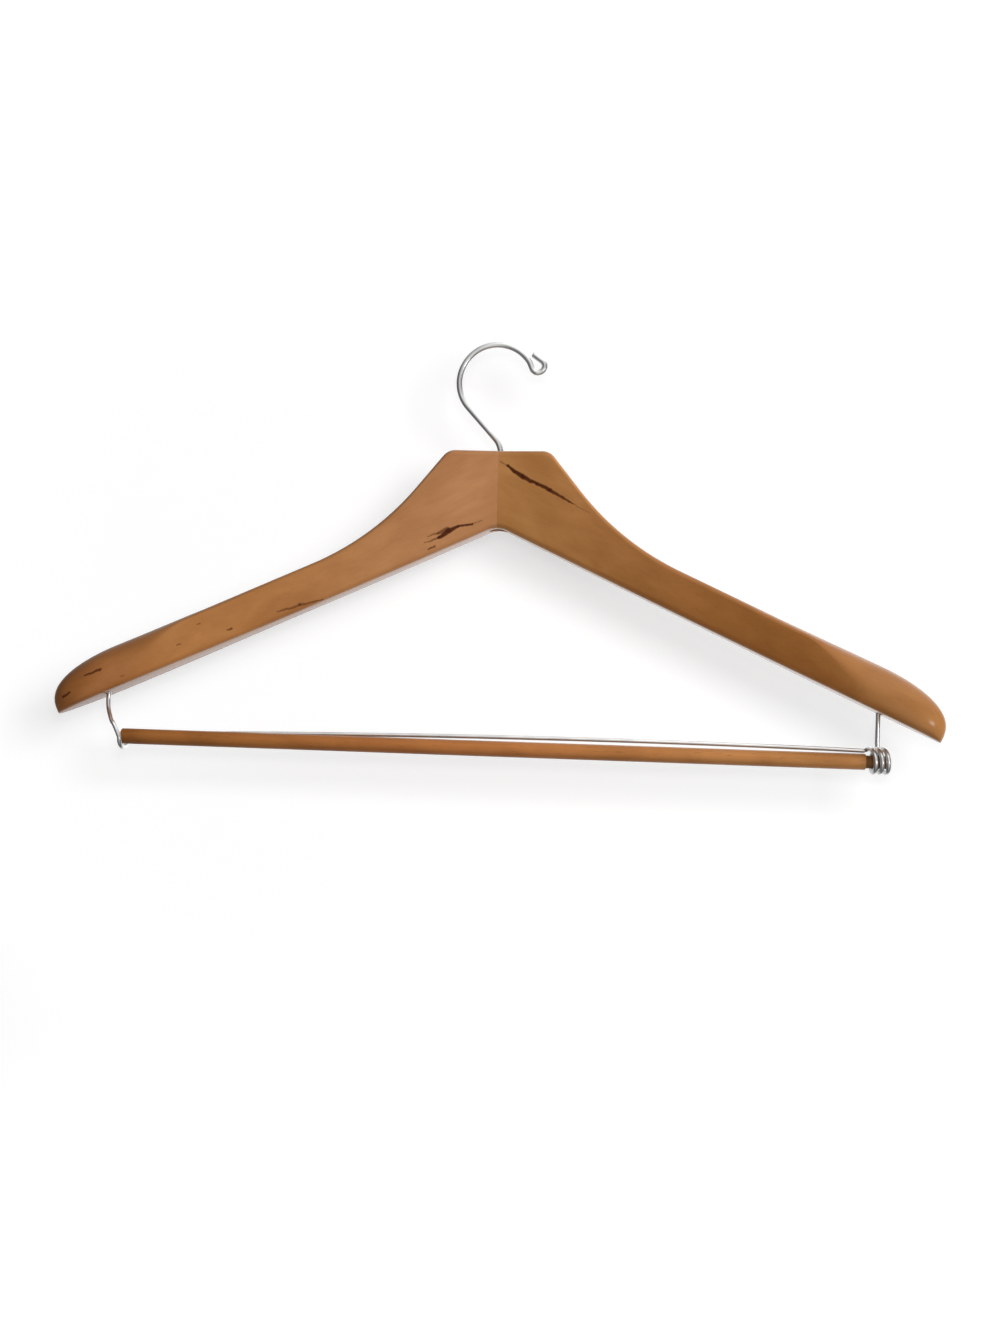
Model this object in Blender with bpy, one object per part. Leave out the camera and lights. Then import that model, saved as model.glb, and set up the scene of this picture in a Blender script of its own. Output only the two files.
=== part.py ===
"""Wooden suit hanger with a swivel hook and a trouser bar held by one spring wire.

Units are metres, +Z is up. The origin is where a rail carries the hook, on the axis the hook turns about.
The arms run along X and sweep forward, to -Y, like a pair of shoulders.
"""

import math

import bpy
import numpy as np
from mathutils import Quaternion, Vector

MM = 0.001

# Wooden arms, seen from the front
SPAN = 445.0 * MM
ARM_SLOPE = math.radians(25.2)
NECK_TOP_WIDTH = 52.8 * MM
NECK_HEIGHT = 39.0 * MM
NECK_SIDE_SLOPE = math.radians(51.3)
NECK_CORNER_RADIUS = 8.0 * MM
NOTCH_RADIUS = 12.0 * MM
NECK_SWEEP_RADIUS = 147.0 * MM
ARM_DEPTH = 20.2 * MM
SHOULDER_DEPTH = 21.0 * MM
SHOULDER_RUN = 55.0 * MM
TIP_LENGTH = 40.0 * MM

# Wooden arms, seen from above
BOARD_THICKNESS = 22.0 * MM
SHOULDER_WIDTH = 30.0 * MM
FLARE_RUN = 88.0 * MM
TIP_FORWARD = 38.0 * MM
MITRE_ANGLE = math.radians(4.0)

# Rounded edges of the arms
TOP_EDGE_RADIUS = 3.0 * MM
CREASE_BACK = 41.0 * MM
CREASE_RUN = 44.0 * MM
UNDER_EDGE_RADIUS = 3.0 * MM
CROWN_SHARE = 0.46
TIP_HEIGHT_POWERS = (2.1, 2.8)
TIP_PLAN_POWERS = (2.3, 2.2)

# Finger joint between the two arms
GLUE_GAP = 0.3 * MM
FINGER_LENGTH = 8.0 * MM
FINGER_THICKNESS = 4.0 * MM
FINGER_OFFSET = 5.2 * MM
FINGER_FOOT = 6.5 * MM
FINGER_TOP_DROP = 0.2 * MM

# Hook
HOOK_WIRE = 3.175 * MM
HOOK_REACH = 55.3 * MM
CROOK_RADIUS = 20.0 * MM
CROOK_SHIFT = 2.9 * MM
CHEEK_RADIUS = 18.9 * MM
CHEEK_START = math.radians(197.0)
STEM_SLOPE = math.radians(47.8)
FOOT_BEND_RADIUS = 12.3 * MM
CROOK_END = math.radians(36.5)
LIP_RADIUS = 10.6 * MM
LIP_TURN = math.radians(14.3)
LIP_STRAIGHT = 2.1 * MM
EYE_RADIUS = 3.4 * MM
EYE_TURN = math.radians(212.3)
EYE_TAIL = 6.0 * MM
HOOK_PLAY = 0.3 * MM
HEAD_RADIUS = 2.9 * MM
HEAD_HEIGHT = 1.5 * MM
WASHER_RADIUS = 4.5 * MM
WASHER_THICKNESS = 1.0 * MM
COUNTERBORE_DEPTH = 4.6 * MM

# Trouser bar
BAR_DIAMETER = 7.94 * MM
BAR_END_DIAMETER = 6.35 * MM
BAR_DROP = 153.4 * MM
BAR_LEFT = 189.2 * MM
BAR_TAPER = 1.0 * MM
BAR_EDGE = 0.5 * MM
BAR_PROUD = -0.6 * MM
BAR_NECK_GAP = 0.7 * MM

# Spring wire that carries the bar
LOCK_WIRE = 2.38 * MM
LEFT_LEG_X = 196.7 * MM
RIGHT_LEG_X = 193.4 * MM
LEG_DEPTH = 14.0 * MM
LEG_PLAY = 0.3 * MM
SEAT_GAP = 0.55 * MM
COIL_TURNS = 2.5
COIL_PITCH = 3.05 * MM
COIL_START = 188.7 * MM
COIL_PLAY = 1.35 * MM
COIL_LIFT = 0.65 * MM
COIL_SKEW = 0.15
COIL_LEAD = 3.0 * MM
TAIL_GAP = 0.65 * MM
RUN_PLAY = 1.4 * MM
RUN_LEFT_RISE = 1.0 * MM
RUN_RIGHT_RISE = 5.3 * MM
RUN_BOW = 2.5 * MM
RUN_BACK_POWER = 0.35
KEEPER_INSET = 0.85 * MM
KEEPER_BEND = 2.6 * MM
KEEPER_SLANT = 0.4 * MM
KEEPER_SHIFT = 0.25 * MM
SWING_RADIUS = 15.0 * MM
SWING_LIFT = 4.8 * MM
SWING_LIMIT = math.radians(180.0)

# Facet counts
EDGE_STEPS = 3
CROWN_STEPS = 7
ROUND_SIDES = 32
TURN_POINTS = 10

# Derived sizes
HOOK_R = HOOK_WIRE / 2
LOCK_R = LOCK_WIRE / 2
BAR_R = BAR_DIAMETER / 2
BAR_END_R = BAR_END_DIAMETER / 2
HALF_SPAN = SPAN / 2
NECK_Z = -HOOK_REACH
BAR_Z = NECK_Z - BAR_DROP
ALONG = np.array([math.cos(ARM_SLOPE), -math.sin(ARM_SLOPE)])
ACROSS = np.array([math.sin(ARM_SLOPE), math.cos(ARM_SLOPE)])


def material(name, colour, roughness, metallic):
    """A plain Principled material."""
    made = bpy.data.materials.new(name)
    made.use_nodes = True
    shader = made.node_tree.nodes["Principled BSDF"]
    shader.inputs["Base Color"].default_value = (*colour, 1.0)
    shader.inputs["Roughness"].default_value = roughness
    shader.inputs["Metallic"].default_value = metallic
    return made


def add_mesh(name, points, faces, finish=None):
    """A mesh object, smooth but for its sharp edges."""
    mesh = bpy.data.meshes.new(name)
    mesh.from_pydata([tuple(p) for p in points], [], faces)
    mesh.validate()
    made = bpy.data.objects.new(name, mesh)
    bpy.context.scene.collection.objects.link(made)
    if finish:
        mesh.materials.append(finish)
        mesh.shade_smooth()
        mesh.set_sharp_from_angle(angle=math.radians(32.0))
    return made


def add_tube(name, points, radius, resolution, finish, radii=None):
    """A round wire through the points, with flat ends."""
    curve = bpy.data.curves.new(name, "CURVE")
    curve.dimensions = "3D"
    curve.bevel_depth = radius
    curve.bevel_resolution = resolution
    curve.resolution_u = 1
    curve.render_resolution_u = 0
    curve.use_fill_caps = True
    curve.twist_mode = "MINIMUM"
    spline = curve.splines.new("POLY")
    spline.points.add(len(points) - 1)
    for index, place in enumerate(points):
        spline.points[index].co = (*place, 1.0)
        spline.points[index].radius = radii[index] if radii else 1.0
    spline.use_smooth = True
    curve.materials.append(finish)
    made = bpy.data.objects.new(name, curve)
    bpy.context.scene.collection.objects.link(made)
    return made


def ease(value):
    """0 below 0, 1 above 1, and a smooth step between."""
    t = min(max(value, 0.0), 1.0)
    return t * t * (3.0 - 2.0 * t)


def turned(profile, sides, spin_axis):
    """Points and faces of a closed solid turned from (along, radius) pairs about X or Z."""
    points, faces = [], []
    for along, radius in profile:
        for k in range(sides):
            a = 2.0 * math.pi * k / sides
            u, v = radius * math.cos(a), radius * math.sin(a)
            points.append((along, u, v) if spin_axis == "X" else (u, v, along))
    rings = len(profile)
    for i in range(rings - 1):
        for k in range(sides):
            n = (k + 1) % sides
            faces.append((i * sides + k, i * sides + n, (i + 1) * sides + n, (i + 1) * sides + k))
    faces.append(tuple(range(sides))[::-1])
    faces.append(tuple((rings - 1) * sides + k for k in range(sides)))
    if profile[-1][0] < profile[0][0]:
        faces = [f[::-1] for f in faces]
    return points, faces


def arc(centre, radius, start, turn, steps):
    """Points on a circle in a plane, the first one left out."""
    angles = [start + turn * k / steps for k in range(1, steps + 1)]
    return [(centre[0] + radius * math.cos(a), centre[1] + radius * math.sin(a)) for a in angles]


def ahead(place, heading, reach):
    """The point that lies reach from the place in the heading's direction, in a plane."""
    return (place[0] + reach * math.cos(heading), place[1] + reach * math.sin(heading))


def rounded(corners, radii, steps):
    """The polyline through the corners, with each inner corner rounded by its radius."""
    points = [np.array(corners[0])]
    for before, corner, after, radius in zip(corners, corners[1:], corners[2:], radii):
        p = np.array(corner)
        back = np.array(before) - p
        forth = np.array(after) - p
        back /= np.linalg.norm(back)
        forth /= np.linalg.norm(forth)
        half = math.acos(float(np.dot(back, forth))) / 2.0
        middle = p + (back + forth) / np.linalg.norm(back + forth) * radius / math.sin(half)
        first = p + back * radius / math.tan(half) - middle
        last = p + forth * radius / math.tan(half) - middle
        start = math.atan2(first[1], first[0])
        turn = (math.atan2(last[1], last[0]) - start + math.pi) % (2.0 * math.pi) - math.pi
        points.append(middle + first)
        points += [np.array(q) for q in arc(middle, radius, start, turn, steps)]
    points.append(np.array(corners[-1]))
    return points


def smooth_route(points, step):
    """A Catmull-Rom curve through the points, read about every step."""
    route = [Vector(p) for p in points]
    route = [route[0] * 2 - route[1]] + route + [route[-1] * 2 - route[-2]]
    found = []
    for a, b, c, d in zip(route, route[1:], route[2:], route[3:]):
        count = max(1, round((c - b).length / step))
        slope = (c - a, 2 * a - 5 * b + 4 * c - d, 3 * b - a - 3 * c + d)
        for t in (k / count for k in range(count)):
            found.append(b + (slope[0] * t + slope[1] * t**2 + slope[2] * t**3) / 2)
    found.append(route[-2])
    return found


# The arm's outline from the front, in (distance from the middle, height below the neck's top)


def tip_share(t, powers):
    """How much of its full size a rounded tip keeps at t, from 0 where it starts to 1 at its end."""
    return max(1.0 - t ** powers[0], 0.0) ** (1.0 / powers[1])


def tip_overhang():
    """How far the round tip reaches past the end of the underside."""
    return max(
        SHOULDER_DEPTH * tip_share(t, TIP_HEIGHT_POWERS) * math.sin(ARM_SLOPE)
        - (1.0 - t) * TIP_LENGTH * math.cos(ARM_SLOPE)
        for t in np.linspace(0.5, 1.0, 101)
    )


ARM_LENGTH = (HALF_SPAN - tip_overhang()) / math.cos(ARM_SLOPE)
TIP_START = ARM_LENGTH - TIP_LENGTH
SHOULDER_START = TIP_START - SHOULDER_RUN
FLARE_START = TIP_START - FLARE_RUN


def depth_at(s):
    """Depth of the arm across its underside, at s along the underside."""
    full = ARM_DEPTH + (SHOULDER_DEPTH - ARM_DEPTH) * ease((s - SHOULDER_START) / SHOULDER_RUN)
    return full * tip_share(max(0.0, (s - TIP_START) / TIP_LENGTH), TIP_HEIGHT_POWERS)


def underside(s):
    """The point s along the straight underside."""
    return np.array([0.0, -NECK_HEIGHT]) + s * ALONG


def underside_z(x):
    """Height of the underside at x, with the notch rounded."""
    flat = NOTCH_RADIUS * math.sin(ARM_SLOPE)
    if x < flat:
        return -NECK_HEIGHT - NOTCH_RADIUS / math.cos(ARM_SLOPE) + math.sqrt(NOTCH_RADIUS**2 - x**2)
    return -NECK_HEIGHT - x * math.tan(ARM_SLOPE)


def top_edge():
    """The upper outline, from the middle of the neck to the end of the tip."""
    corner = NECK_TOP_WIDTH / 2
    arm_top = -NECK_HEIGHT + ARM_DEPTH / math.cos(ARM_SLOPE)
    side = math.tan(NECK_SIDE_SLOPE)
    meet = (side * corner - arm_top) / (side - math.tan(ARM_SLOPE))
    shoulder = underside(SHOULDER_START) + ACROSS * ARM_DEPTH
    corners = [(0.0, 0.0), (corner, 0.0), (meet, side * (corner - meet)), tuple(shoulder)]
    points = rounded(corners, (NECK_CORNER_RADIUS, NECK_SWEEP_RADIUS), 24)
    share = [0.1, 0.2, 0.3, 0.4, 0.5, 0.6, 0.7, 0.8, 0.9, 1.0]
    points += [underside(s) + ACROSS * depth_at(s) for s in (SHOULDER_START + SHOULDER_RUN * k for k in share)]
    rim = [math.sin(math.pi / 2 * k / 40) for k in range(1, 41)]
    points += [underside(s) + ACROSS * depth_at(s) for s in (TIP_START + TIP_LENGTH * k for k in rim)]
    return points


TOP_EDGE = top_edge()


def cross(a, b):
    return a[0] * b[1] - a[1] * b[0]


def height_on(base, direction):
    """How far the outline lies from the base along a unit direction."""
    best = 0.0
    for a, b in zip(TOP_EDGE, TOP_EDGE[1:]):
        span = b - a
        bottom = cross(direction, span)
        if abs(bottom) < 1e-12:
            continue
        reach = cross(a - base, span) / bottom
        share = cross(a - base, direction) / bottom
        if -1e-9 <= share <= 1.0 + 1e-9 and reach > best:
            best = reach
    return best


def sweep_y(x):
    """How far the arm's middle has swept forward at x."""
    straight = math.tan(MITRE_ANGLE)
    return -(abs(x) * straight + (TIP_FORWARD - HALF_SPAN * straight) * (x / HALF_SPAN) ** 2)


def width_at(s):
    """Width of the arm from front to back."""
    full = BOARD_THICKNESS + (SHOULDER_WIDTH - BOARD_THICKNESS) * ease((s - FLARE_START) / FLARE_RUN)
    return full * tip_share(max(0.0, (s - TIP_START) / TIP_LENGTH), TIP_PLAN_POWERS)


def section(s, height):
    """The arm's section as (y, height) pairs, from the underside up the front, over and down the back."""
    width = width_at(s)
    dome = ease((s - FLARE_START) / FLARE_RUN)
    fall = ease((s - TIP_START + CREASE_BACK) / CREASE_RUN)
    low = min(UNDER_EDGE_RADIUS, 0.2 * width, 0.2 * height)
    wide = min(TOP_EDGE_RADIUS + (CROWN_SHARE * width - TOP_EDGE_RADIUS) * dome, CROWN_SHARE * width)
    tall = min(TOP_EDGE_RADIUS + (0.94 * height - low - TOP_EDGE_RADIUS) * fall, 0.94 * height - low)
    half = width / 2
    front = []
    for k in range(EDGE_STEPS + 1):
        a = math.pi / 2 * k / EDGE_STEPS
        front.append((-half + low - low * math.sin(a), low - low * math.cos(a)))
    for k in range(CROWN_STEPS + 1):
        a = math.pi / 2 * k / CROWN_STEPS
        front.append((-half + wide - wide * math.cos(a), height - tall + tall * math.sin(a)))
    return front + [(-y, h) for y, h in reversed(front)]


def stations():
    """Places along the underside where the arm's section is drawn."""
    spans = [
        (GLUE_GAP / 2, 0.012, 4),
        (0.012, 0.022, 2),
        (0.022, 0.034, 8),
        (0.034, 0.112, 13),
        (0.112, SHOULDER_START, 3),
        (SHOULDER_START, TIP_START, 10),
    ]
    found = []
    for start, end, count in spans:
        found += [start + (end - start) * k / count for k in range(count)]
    found += [TIP_START + TIP_LENGTH * math.sin(math.pi / 2 * k / 9) for k in range(9)]
    return found + [TIP_START + TIP_LENGTH * 0.998]


def arm_blank(name, side, finish):
    """One arm as a loft of sections that fan round from upright at the neck to square at the tip."""
    points, faces = [], []
    places = stations()
    for s in places:
        lean = ARM_SLOPE * ease((s - 0.12) / 0.05)
        direction = np.array([math.sin(lean), math.cos(lean)])
        base = underside(s)
        base[1] = underside_z(base[0])
        height = height_on(base, direction)
        for y, h in section(s, height):
            place = base + direction * h
            points.append((side * place[0], y + sweep_y(place[0]), NECK_Z + place[1]))
    ring = len(points) // len(places)
    for i in range(len(places) - 1):
        for k in range(ring):
            n = (k + 1) % ring
            faces.append((i * ring + k, (i + 1) * ring + k, (i + 1) * ring + n, i * ring + n))
    faces.append(tuple(range(ring)))
    faces.append(tuple((len(places) - 1) * ring + k for k in range(ring))[::-1])
    if side < 0:
        faces = [f[::-1] for f in faces]
    return add_mesh(name, points, faces, finish)


# Tools that cut or join the arms


def block(name, low, high):
    """A box between two corners."""
    points = [(x, y, z) for x in (low[0], high[0]) for y in (low[1], high[1]) for z in (low[2], high[2])]
    faces = [(0, 1, 3, 2), (4, 6, 7, 5), (0, 4, 5, 1), (2, 3, 7, 6), (0, 2, 6, 4), (1, 5, 7, 3)]
    return as_tool(add_mesh(name, points, faces))


def drill(name, place, radius, low, high, sides=ROUND_SIDES):
    """An upright cylinder from low to high."""
    points, faces = turned([(low, radius), (high, radius)], sides, "Z")
    return as_tool(add_mesh(name, [(x + place[0], y + place[1], z) for x, y, z in points], faces))


def as_tool(made):
    made.hide_render = True
    made.display_type = "WIRE"
    return made


def use(target, tool, operation):
    """Adds a Boolean modifier with an exact solver."""
    step = target.modifiers.new(tool.name, "BOOLEAN")
    step.operation = operation
    step.solver = "EXACT"
    step.object = tool


# Places that more than one piece uses

BAR_Y = sweep_y(LEFT_LEG_X)
COIL_R = BAR_END_R + COIL_PLAY + LOCK_R
COIL_END = COIL_START + COIL_TURNS * COIL_PITCH
COIL_MIDDLE = (COIL_START + COIL_END) / 2
TAIL_R = COIL_R + LOCK_WIRE + TAIL_GAP
KEEPER_R = BAR_R + LOCK_R + SEAT_GAP
KEEPER_X = -BAR_LEFT + KEEPER_INSET
COUNTERBORE_TOP = NECK_Z + underside_z(0.0) + COUNTERBORE_DEPTH
BORE_R = HOOK_R + HOOK_PLAY
LEG_PLACES = {-1: (-LEFT_LEG_X, BAR_Y), 1: (RIGHT_LEG_X, BAR_Y + TAIL_R)}


def leg_top(side):
    """Top of the drilled hole that holds a leg of the spring wire."""
    return NECK_Z + underside_z(abs(LEG_PLACES[side][0])) + LEG_DEPTH


def make_arm(name, side, finish):
    """An arm with its finger, the other arm's socket, its half of the hook's bore and its leg hole."""
    arm = arm_blank(name, side, finish)
    foot = NECK_Z - NECK_HEIGHT + FINGER_FOOT
    crown = NECK_Z - FINGER_TOP_DROP
    half = FINGER_THICKNESS / 2
    near, far = sorted((side * 2.0 * MM, -side * FINGER_LENGTH))
    centre = side * FINGER_OFFSET
    finger = block(name + "_finger", (near, centre - half, foot), (far, centre + half, crown))
    near, far = sorted((-side * 1.0 * MM, side * (FINGER_LENGTH + GLUE_GAP)))
    half += GLUE_GAP
    socket = block(
        name + "_socket", (near, -centre - half, foot - GLUE_GAP), (far, -centre + half, NECK_Z + 1.0 * MM)
    )
    below = NECK_Z - 1.5 * NECK_HEIGHT
    bore = drill(name + "_bore", (0.0, 0.0), BORE_R, below, NECK_Z + 2.0 * MM)
    seat = drill(name + "_seat", (0.0, 0.0), WASHER_RADIUS + HOOK_PLAY, below, COUNTERBORE_TOP)
    place = LEG_PLACES[side]
    leg = drill(name + "_leg", place, LOCK_R + LEG_PLAY, BAR_Z, leg_top(side) + LEG_PLAY, 16)
    use(arm, finger, "UNION")
    for tool in (socket, bore, seat, leg):
        use(arm, tool, "DIFFERENCE")
    return arm


def hook_path():
    """The hook's centre line from its head under the neck to the end of its eye, as (x, z)."""
    centre = (-CROOK_SHIFT, -math.sqrt((CROOK_RADIUS - HOOK_R) ** 2 - CROOK_SHIFT**2))
    inner = CROOK_RADIUS - CHEEK_RADIUS
    cheek = (centre[0] + inner * math.cos(CHEEK_START), centre[1] + inner * math.sin(CHEEK_START))
    leave = math.pi * 1.5 - STEM_SLOPE
    low = (cheek[0] + CHEEK_RADIUS * math.cos(leave), cheek[1] + CHEEK_RADIUS * math.sin(leave))
    corner = (0.0, low[1] + low[0] * math.tan(STEM_SLOPE))
    washer_low = COUNTERBORE_TOP - 2 * HOOK_PLAY - WASHER_THICKNESS
    stem = [(0.0, washer_low - HEAD_HEIGHT), corner, low]
    path = [tuple(p) for p in rounded(stem, (FOOT_BEND_RADIUS,), 8)]
    path += arc(cheek, CHEEK_RADIUS, leave, CHEEK_START - leave, 6)
    path += arc(centre, CROOK_RADIUS, CHEEK_START, CROOK_END - CHEEK_START, 24)
    heading = CROOK_END - math.pi / 2
    inner = CROOK_RADIUS - LIP_RADIUS
    lip = (centre[0] + inner * math.cos(CROOK_END), centre[1] + inner * math.sin(CROOK_END))
    path += arc(lip, LIP_RADIUS, CROOK_END, -LIP_TURN, 3)
    heading -= LIP_TURN
    path.append(ahead(path[-1], heading, LIP_STRAIGHT))
    eye = ahead(path[-1], heading + math.pi / 2, EYE_RADIUS)
    path += arc(eye, EYE_RADIUS, heading - math.pi / 2, EYE_TURN, 16)
    path.append(ahead(path[-1], heading + EYE_TURN, EYE_TAIL))
    return path


def make_hook(finish):
    """The hook, with its lower end spread into a round head."""
    path = [(x, 0.0, z) for x, z in hook_path()]
    spread = HEAD_RADIUS / HOOK_R
    foot = path[0][2]
    head = [(0.0, 0.0, foot + HEAD_HEIGHT * k) for k in (0.0, 0.25, 0.8, 1.0, 1.05)]
    sizes = [0.75 * spread, spread, spread, 0.9 * spread, 1.0]
    return add_tube("hook", head + path[1:], HOOK_R, 4, finish, sizes + [1.0] * (len(path) - 1))


def make_washer(finish):
    """The flat ring the neck rests on, round the hook's shank above its head."""
    top = COUNTERBORE_TOP - HOOK_PLAY
    low = top - WASHER_THICKNESS
    hole = HOOK_R + HOOK_PLAY
    profile = [(low, hole), (low, WASHER_RADIUS), (top, WASHER_RADIUS), (top, hole)]
    points, faces = [], []
    for along, radius in profile:
        for k in range(ROUND_SIDES):
            a = 2.0 * math.pi * k / ROUND_SIDES
            points.append((radius * math.cos(a), radius * math.sin(a), along))
    for i in range(4):
        for k in range(ROUND_SIDES):
            n = (k + 1) % ROUND_SIDES
            j = (i + 1) % 4
            faces.append((i * ROUND_SIDES + k, i * ROUND_SIDES + n, j * ROUND_SIDES + n, j * ROUND_SIDES + k))
    return add_mesh("hook_washer", points, faces, finish)


def bar_profile():
    """The bar's turned shape as (x, radius), from its free end to the end in the coil."""
    right = COIL_END + LOCK_R + BAR_PROUD
    shoulder = COIL_START - LOCK_R - BAR_NECK_GAP
    profile = [(-BAR_LEFT + BAR_EDGE - BAR_EDGE * math.sin(a), BAR_R - BAR_EDGE + BAR_EDGE * math.cos(a))
               for a in (math.pi / 2, math.pi / 4, 0.0)]
    profile += [(shoulder - BAR_TAPER, BAR_R), (shoulder, BAR_END_R)]
    profile += [(right - BAR_EDGE + BAR_EDGE * math.sin(a), BAR_END_R - BAR_EDGE + BAR_EDGE * math.cos(a))
                for a in (0.0, math.pi / 4, math.pi / 2)]
    return profile


def make_bar(finish):
    """The trouser bar, with its origin in the middle of the coil, where it swings."""
    points, faces = turned(bar_profile(), ROUND_SIDES, "X")
    bar = add_mesh("trouser_bar", [(x - COIL_MIDDLE, y, z) for x, y, z in points], faces, finish)
    bar.location = (COIL_MIDDLE, BAR_Y, BAR_Z)
    return bar


def run_point(share):
    """A point of the clamping run, from 0 at the coil to 1 at the keeper, from the bar's axis."""
    x = COIL_START - COIL_LEAD + (KEEPER_X + KEEPER_BEND - COIL_START + COIL_LEAD) * share
    back = COIL_LEAD + (BAR_R + LOCK_R + RUN_PLAY - COIL_LEAD) * share**RUN_BACK_POWER
    rise = (1.0 - share) * RUN_RIGHT_RISE + share * RUN_LEFT_RISE + 4.0 * RUN_BOW * share * (1.0 - share)
    return (x, back, rise)


def lock_path():
    """The spring wire's centre line, from the left arm to the right one, from the bar's axis."""
    top = leg_top(-1) - BAR_Z
    brow = underside_z(LEFT_LEG_X) + BAR_DROP
    bend = brow - 0.4 * (brow - KEEPER_R)
    x = -LEFT_LEG_X
    route = [(x, 0.0, top), (x, 0.0, (top + bend) / 2), (x, -0.1 * KEEPER_R, bend)]
    route.append((x + 0.42 * (KEEPER_X - x), -0.75 * KEEPER_R, 0.5 * bend))
    route.append((KEEPER_X - 1.7 * MM, -KEEPER_R - 0.1 * MM, 0.8 * KEEPER_R))
    leg = smooth_route(route, 3.0 * MM)[:-1]
    keeper = []
    for k in range(9):
        a = math.pi * k / 8
        y = KEEPER_SHIFT - (KEEPER_R + KEEPER_SHIFT) * math.cos(a)
        keeper.append((KEEPER_X - KEEPER_SLANT * math.cos(a), y, -KEEPER_R * math.sin(a)))
    back = run_point(1.0)
    corner = [
        (KEEPER_X + 1.2 * KEEPER_SLANT, (keeper[-1][1] + back[1]) / 2, 0.5 * back[2]),
        (KEEPER_X + 0.5 * KEEPER_BEND, back[1], 0.85 * back[2]),
    ]
    run = [run_point(1.0 - k / 24) for k in range(25)]
    lead = []
    for k in range(1, 4):
        a = math.pi / 2 * k / 4
        rise = RUN_RIGHT_RISE + (COIL_LIFT + COIL_R - RUN_RIGHT_RISE) * math.sin(a)
        lead.append((COIL_START - COIL_LEAD + COIL_LEAD * math.sin(a), COIL_LEAD * math.cos(a), rise))
    coil = []
    for k in range(round(COIL_TURNS * TURN_POINTS) + 1):
        a = 2.0 * math.pi * k / TURN_POINTS
        x = COIL_START + COIL_PITCH * k / TURN_POINTS + COIL_SKEW * COIL_R * math.sin(a)
        coil.append((x, -COIL_R * math.sin(a), COIL_LIFT + COIL_R * math.cos(a)))
    tail = []
    for k in range(1, 6):
        a = math.pi / 2 * k / 5
        x = COIL_END + 0.45 * (RIGHT_LEG_X - COIL_END) * ease((k / 5 - 0.5) / 0.5)
        tail.append((x, TAIL_R * math.sin(a), COIL_LIFT - COIL_R * math.cos(a)))
    top = leg_top(1) - BAR_Z
    rise = [(COIL_END + 0.85 * (RIGHT_LEG_X - COIL_END), TAIL_R, COIL_LIFT + 0.8 * COIL_R)]
    rise += [(RIGHT_LEG_X, TAIL_R, z) for z in (1.6 * COIL_R, 0.5 * top, top)]
    places = [Vector(p) for p in leg + keeper + corner + run + lead + coil + tail + rise]
    return places


def make_lock_wire(finish):
    """One spring wire: left leg, keeper, clamping run, coil and right leg."""
    path = lock_path()
    add_tube("lock_wire", [(p.x, p.y + BAR_Y, p.z + BAR_Z) for p in path], LOCK_R, 1, finish)
    return path


def least_self_gap(path, diameter):
    """Least gap between stretches of a wire that aren't neighbours, read on its points."""
    places = np.array([tuple(p) for p in path])
    shares = (0.0, 0.25, 0.5, 0.75)
    fine = np.vstack([a + (b - a) * t for a, b in zip(places, places[1:]) for t in shares])
    steps = np.linalg.norm(np.diff(fine, axis=0), axis=1)
    along = np.concatenate([[0.0], np.cumsum(steps)])
    least, at = math.inf, None
    for i, place in enumerate(fine):
        other = along > along[i] + 3.0 * diameter
        if other.any():
            gap = np.linalg.norm(fine[other] - place, axis=1).min() - diameter
            if gap < least:
                least, at = gap, [round(float(v) / MM, 1) for v in place]
    return round(float(least) / MM, 2), at


def swing_axis():
    """Unit axis the bar swings about, from the pivot left of the bar to the coil."""
    pivot = Vector((-BAR_LEFT, -math.sqrt(SWING_RADIUS**2 - SWING_LIFT**2), SWING_LIFT))
    return (Vector((COIL_MIDDLE, 0.0, 0.0)) - pivot).normalized()


def least_swing_gap(path):
    """Least gap between the wire and the swinging bar, over the bar's full range."""
    middle = Vector((COIL_MIDDLE, 0.0, 0.0))
    axis = swing_axis()
    profile = np.array(bar_profile())
    fine = [path[i].lerp(path[i + 1], t) for i in range(len(path) - 1) for t in (0.0, 0.25, 0.5, 0.75)]
    least, at = math.inf, None
    for degree in range(0, round(math.degrees(SWING_LIMIT)) + 1, 3):
        back = Quaternion(axis, -math.radians(degree))
        for place in fine:
            p = middle + back @ (place - middle)
            if -BAR_LEFT <= p.x <= profile[-1][0]:
                radius = np.interp(p.x, profile[:, 0], profile[:, 1])
                gap = math.hypot(p.y, p.z) - radius - LOCK_R
            else:
                end = -BAR_LEFT if p.x < 0 else profile[-1][0]
                reach = max(0.0, math.hypot(p.y, p.z) - (BAR_R - BAR_EDGE if p.x < 0 else BAR_END_R - BAR_EDGE))
                gap = math.hypot(p.x - end, reach) - LOCK_R
            if gap < least:
                least, at = gap, (degree, tuple(round(v / MM, 1) for v in place))
    return least, at


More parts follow.
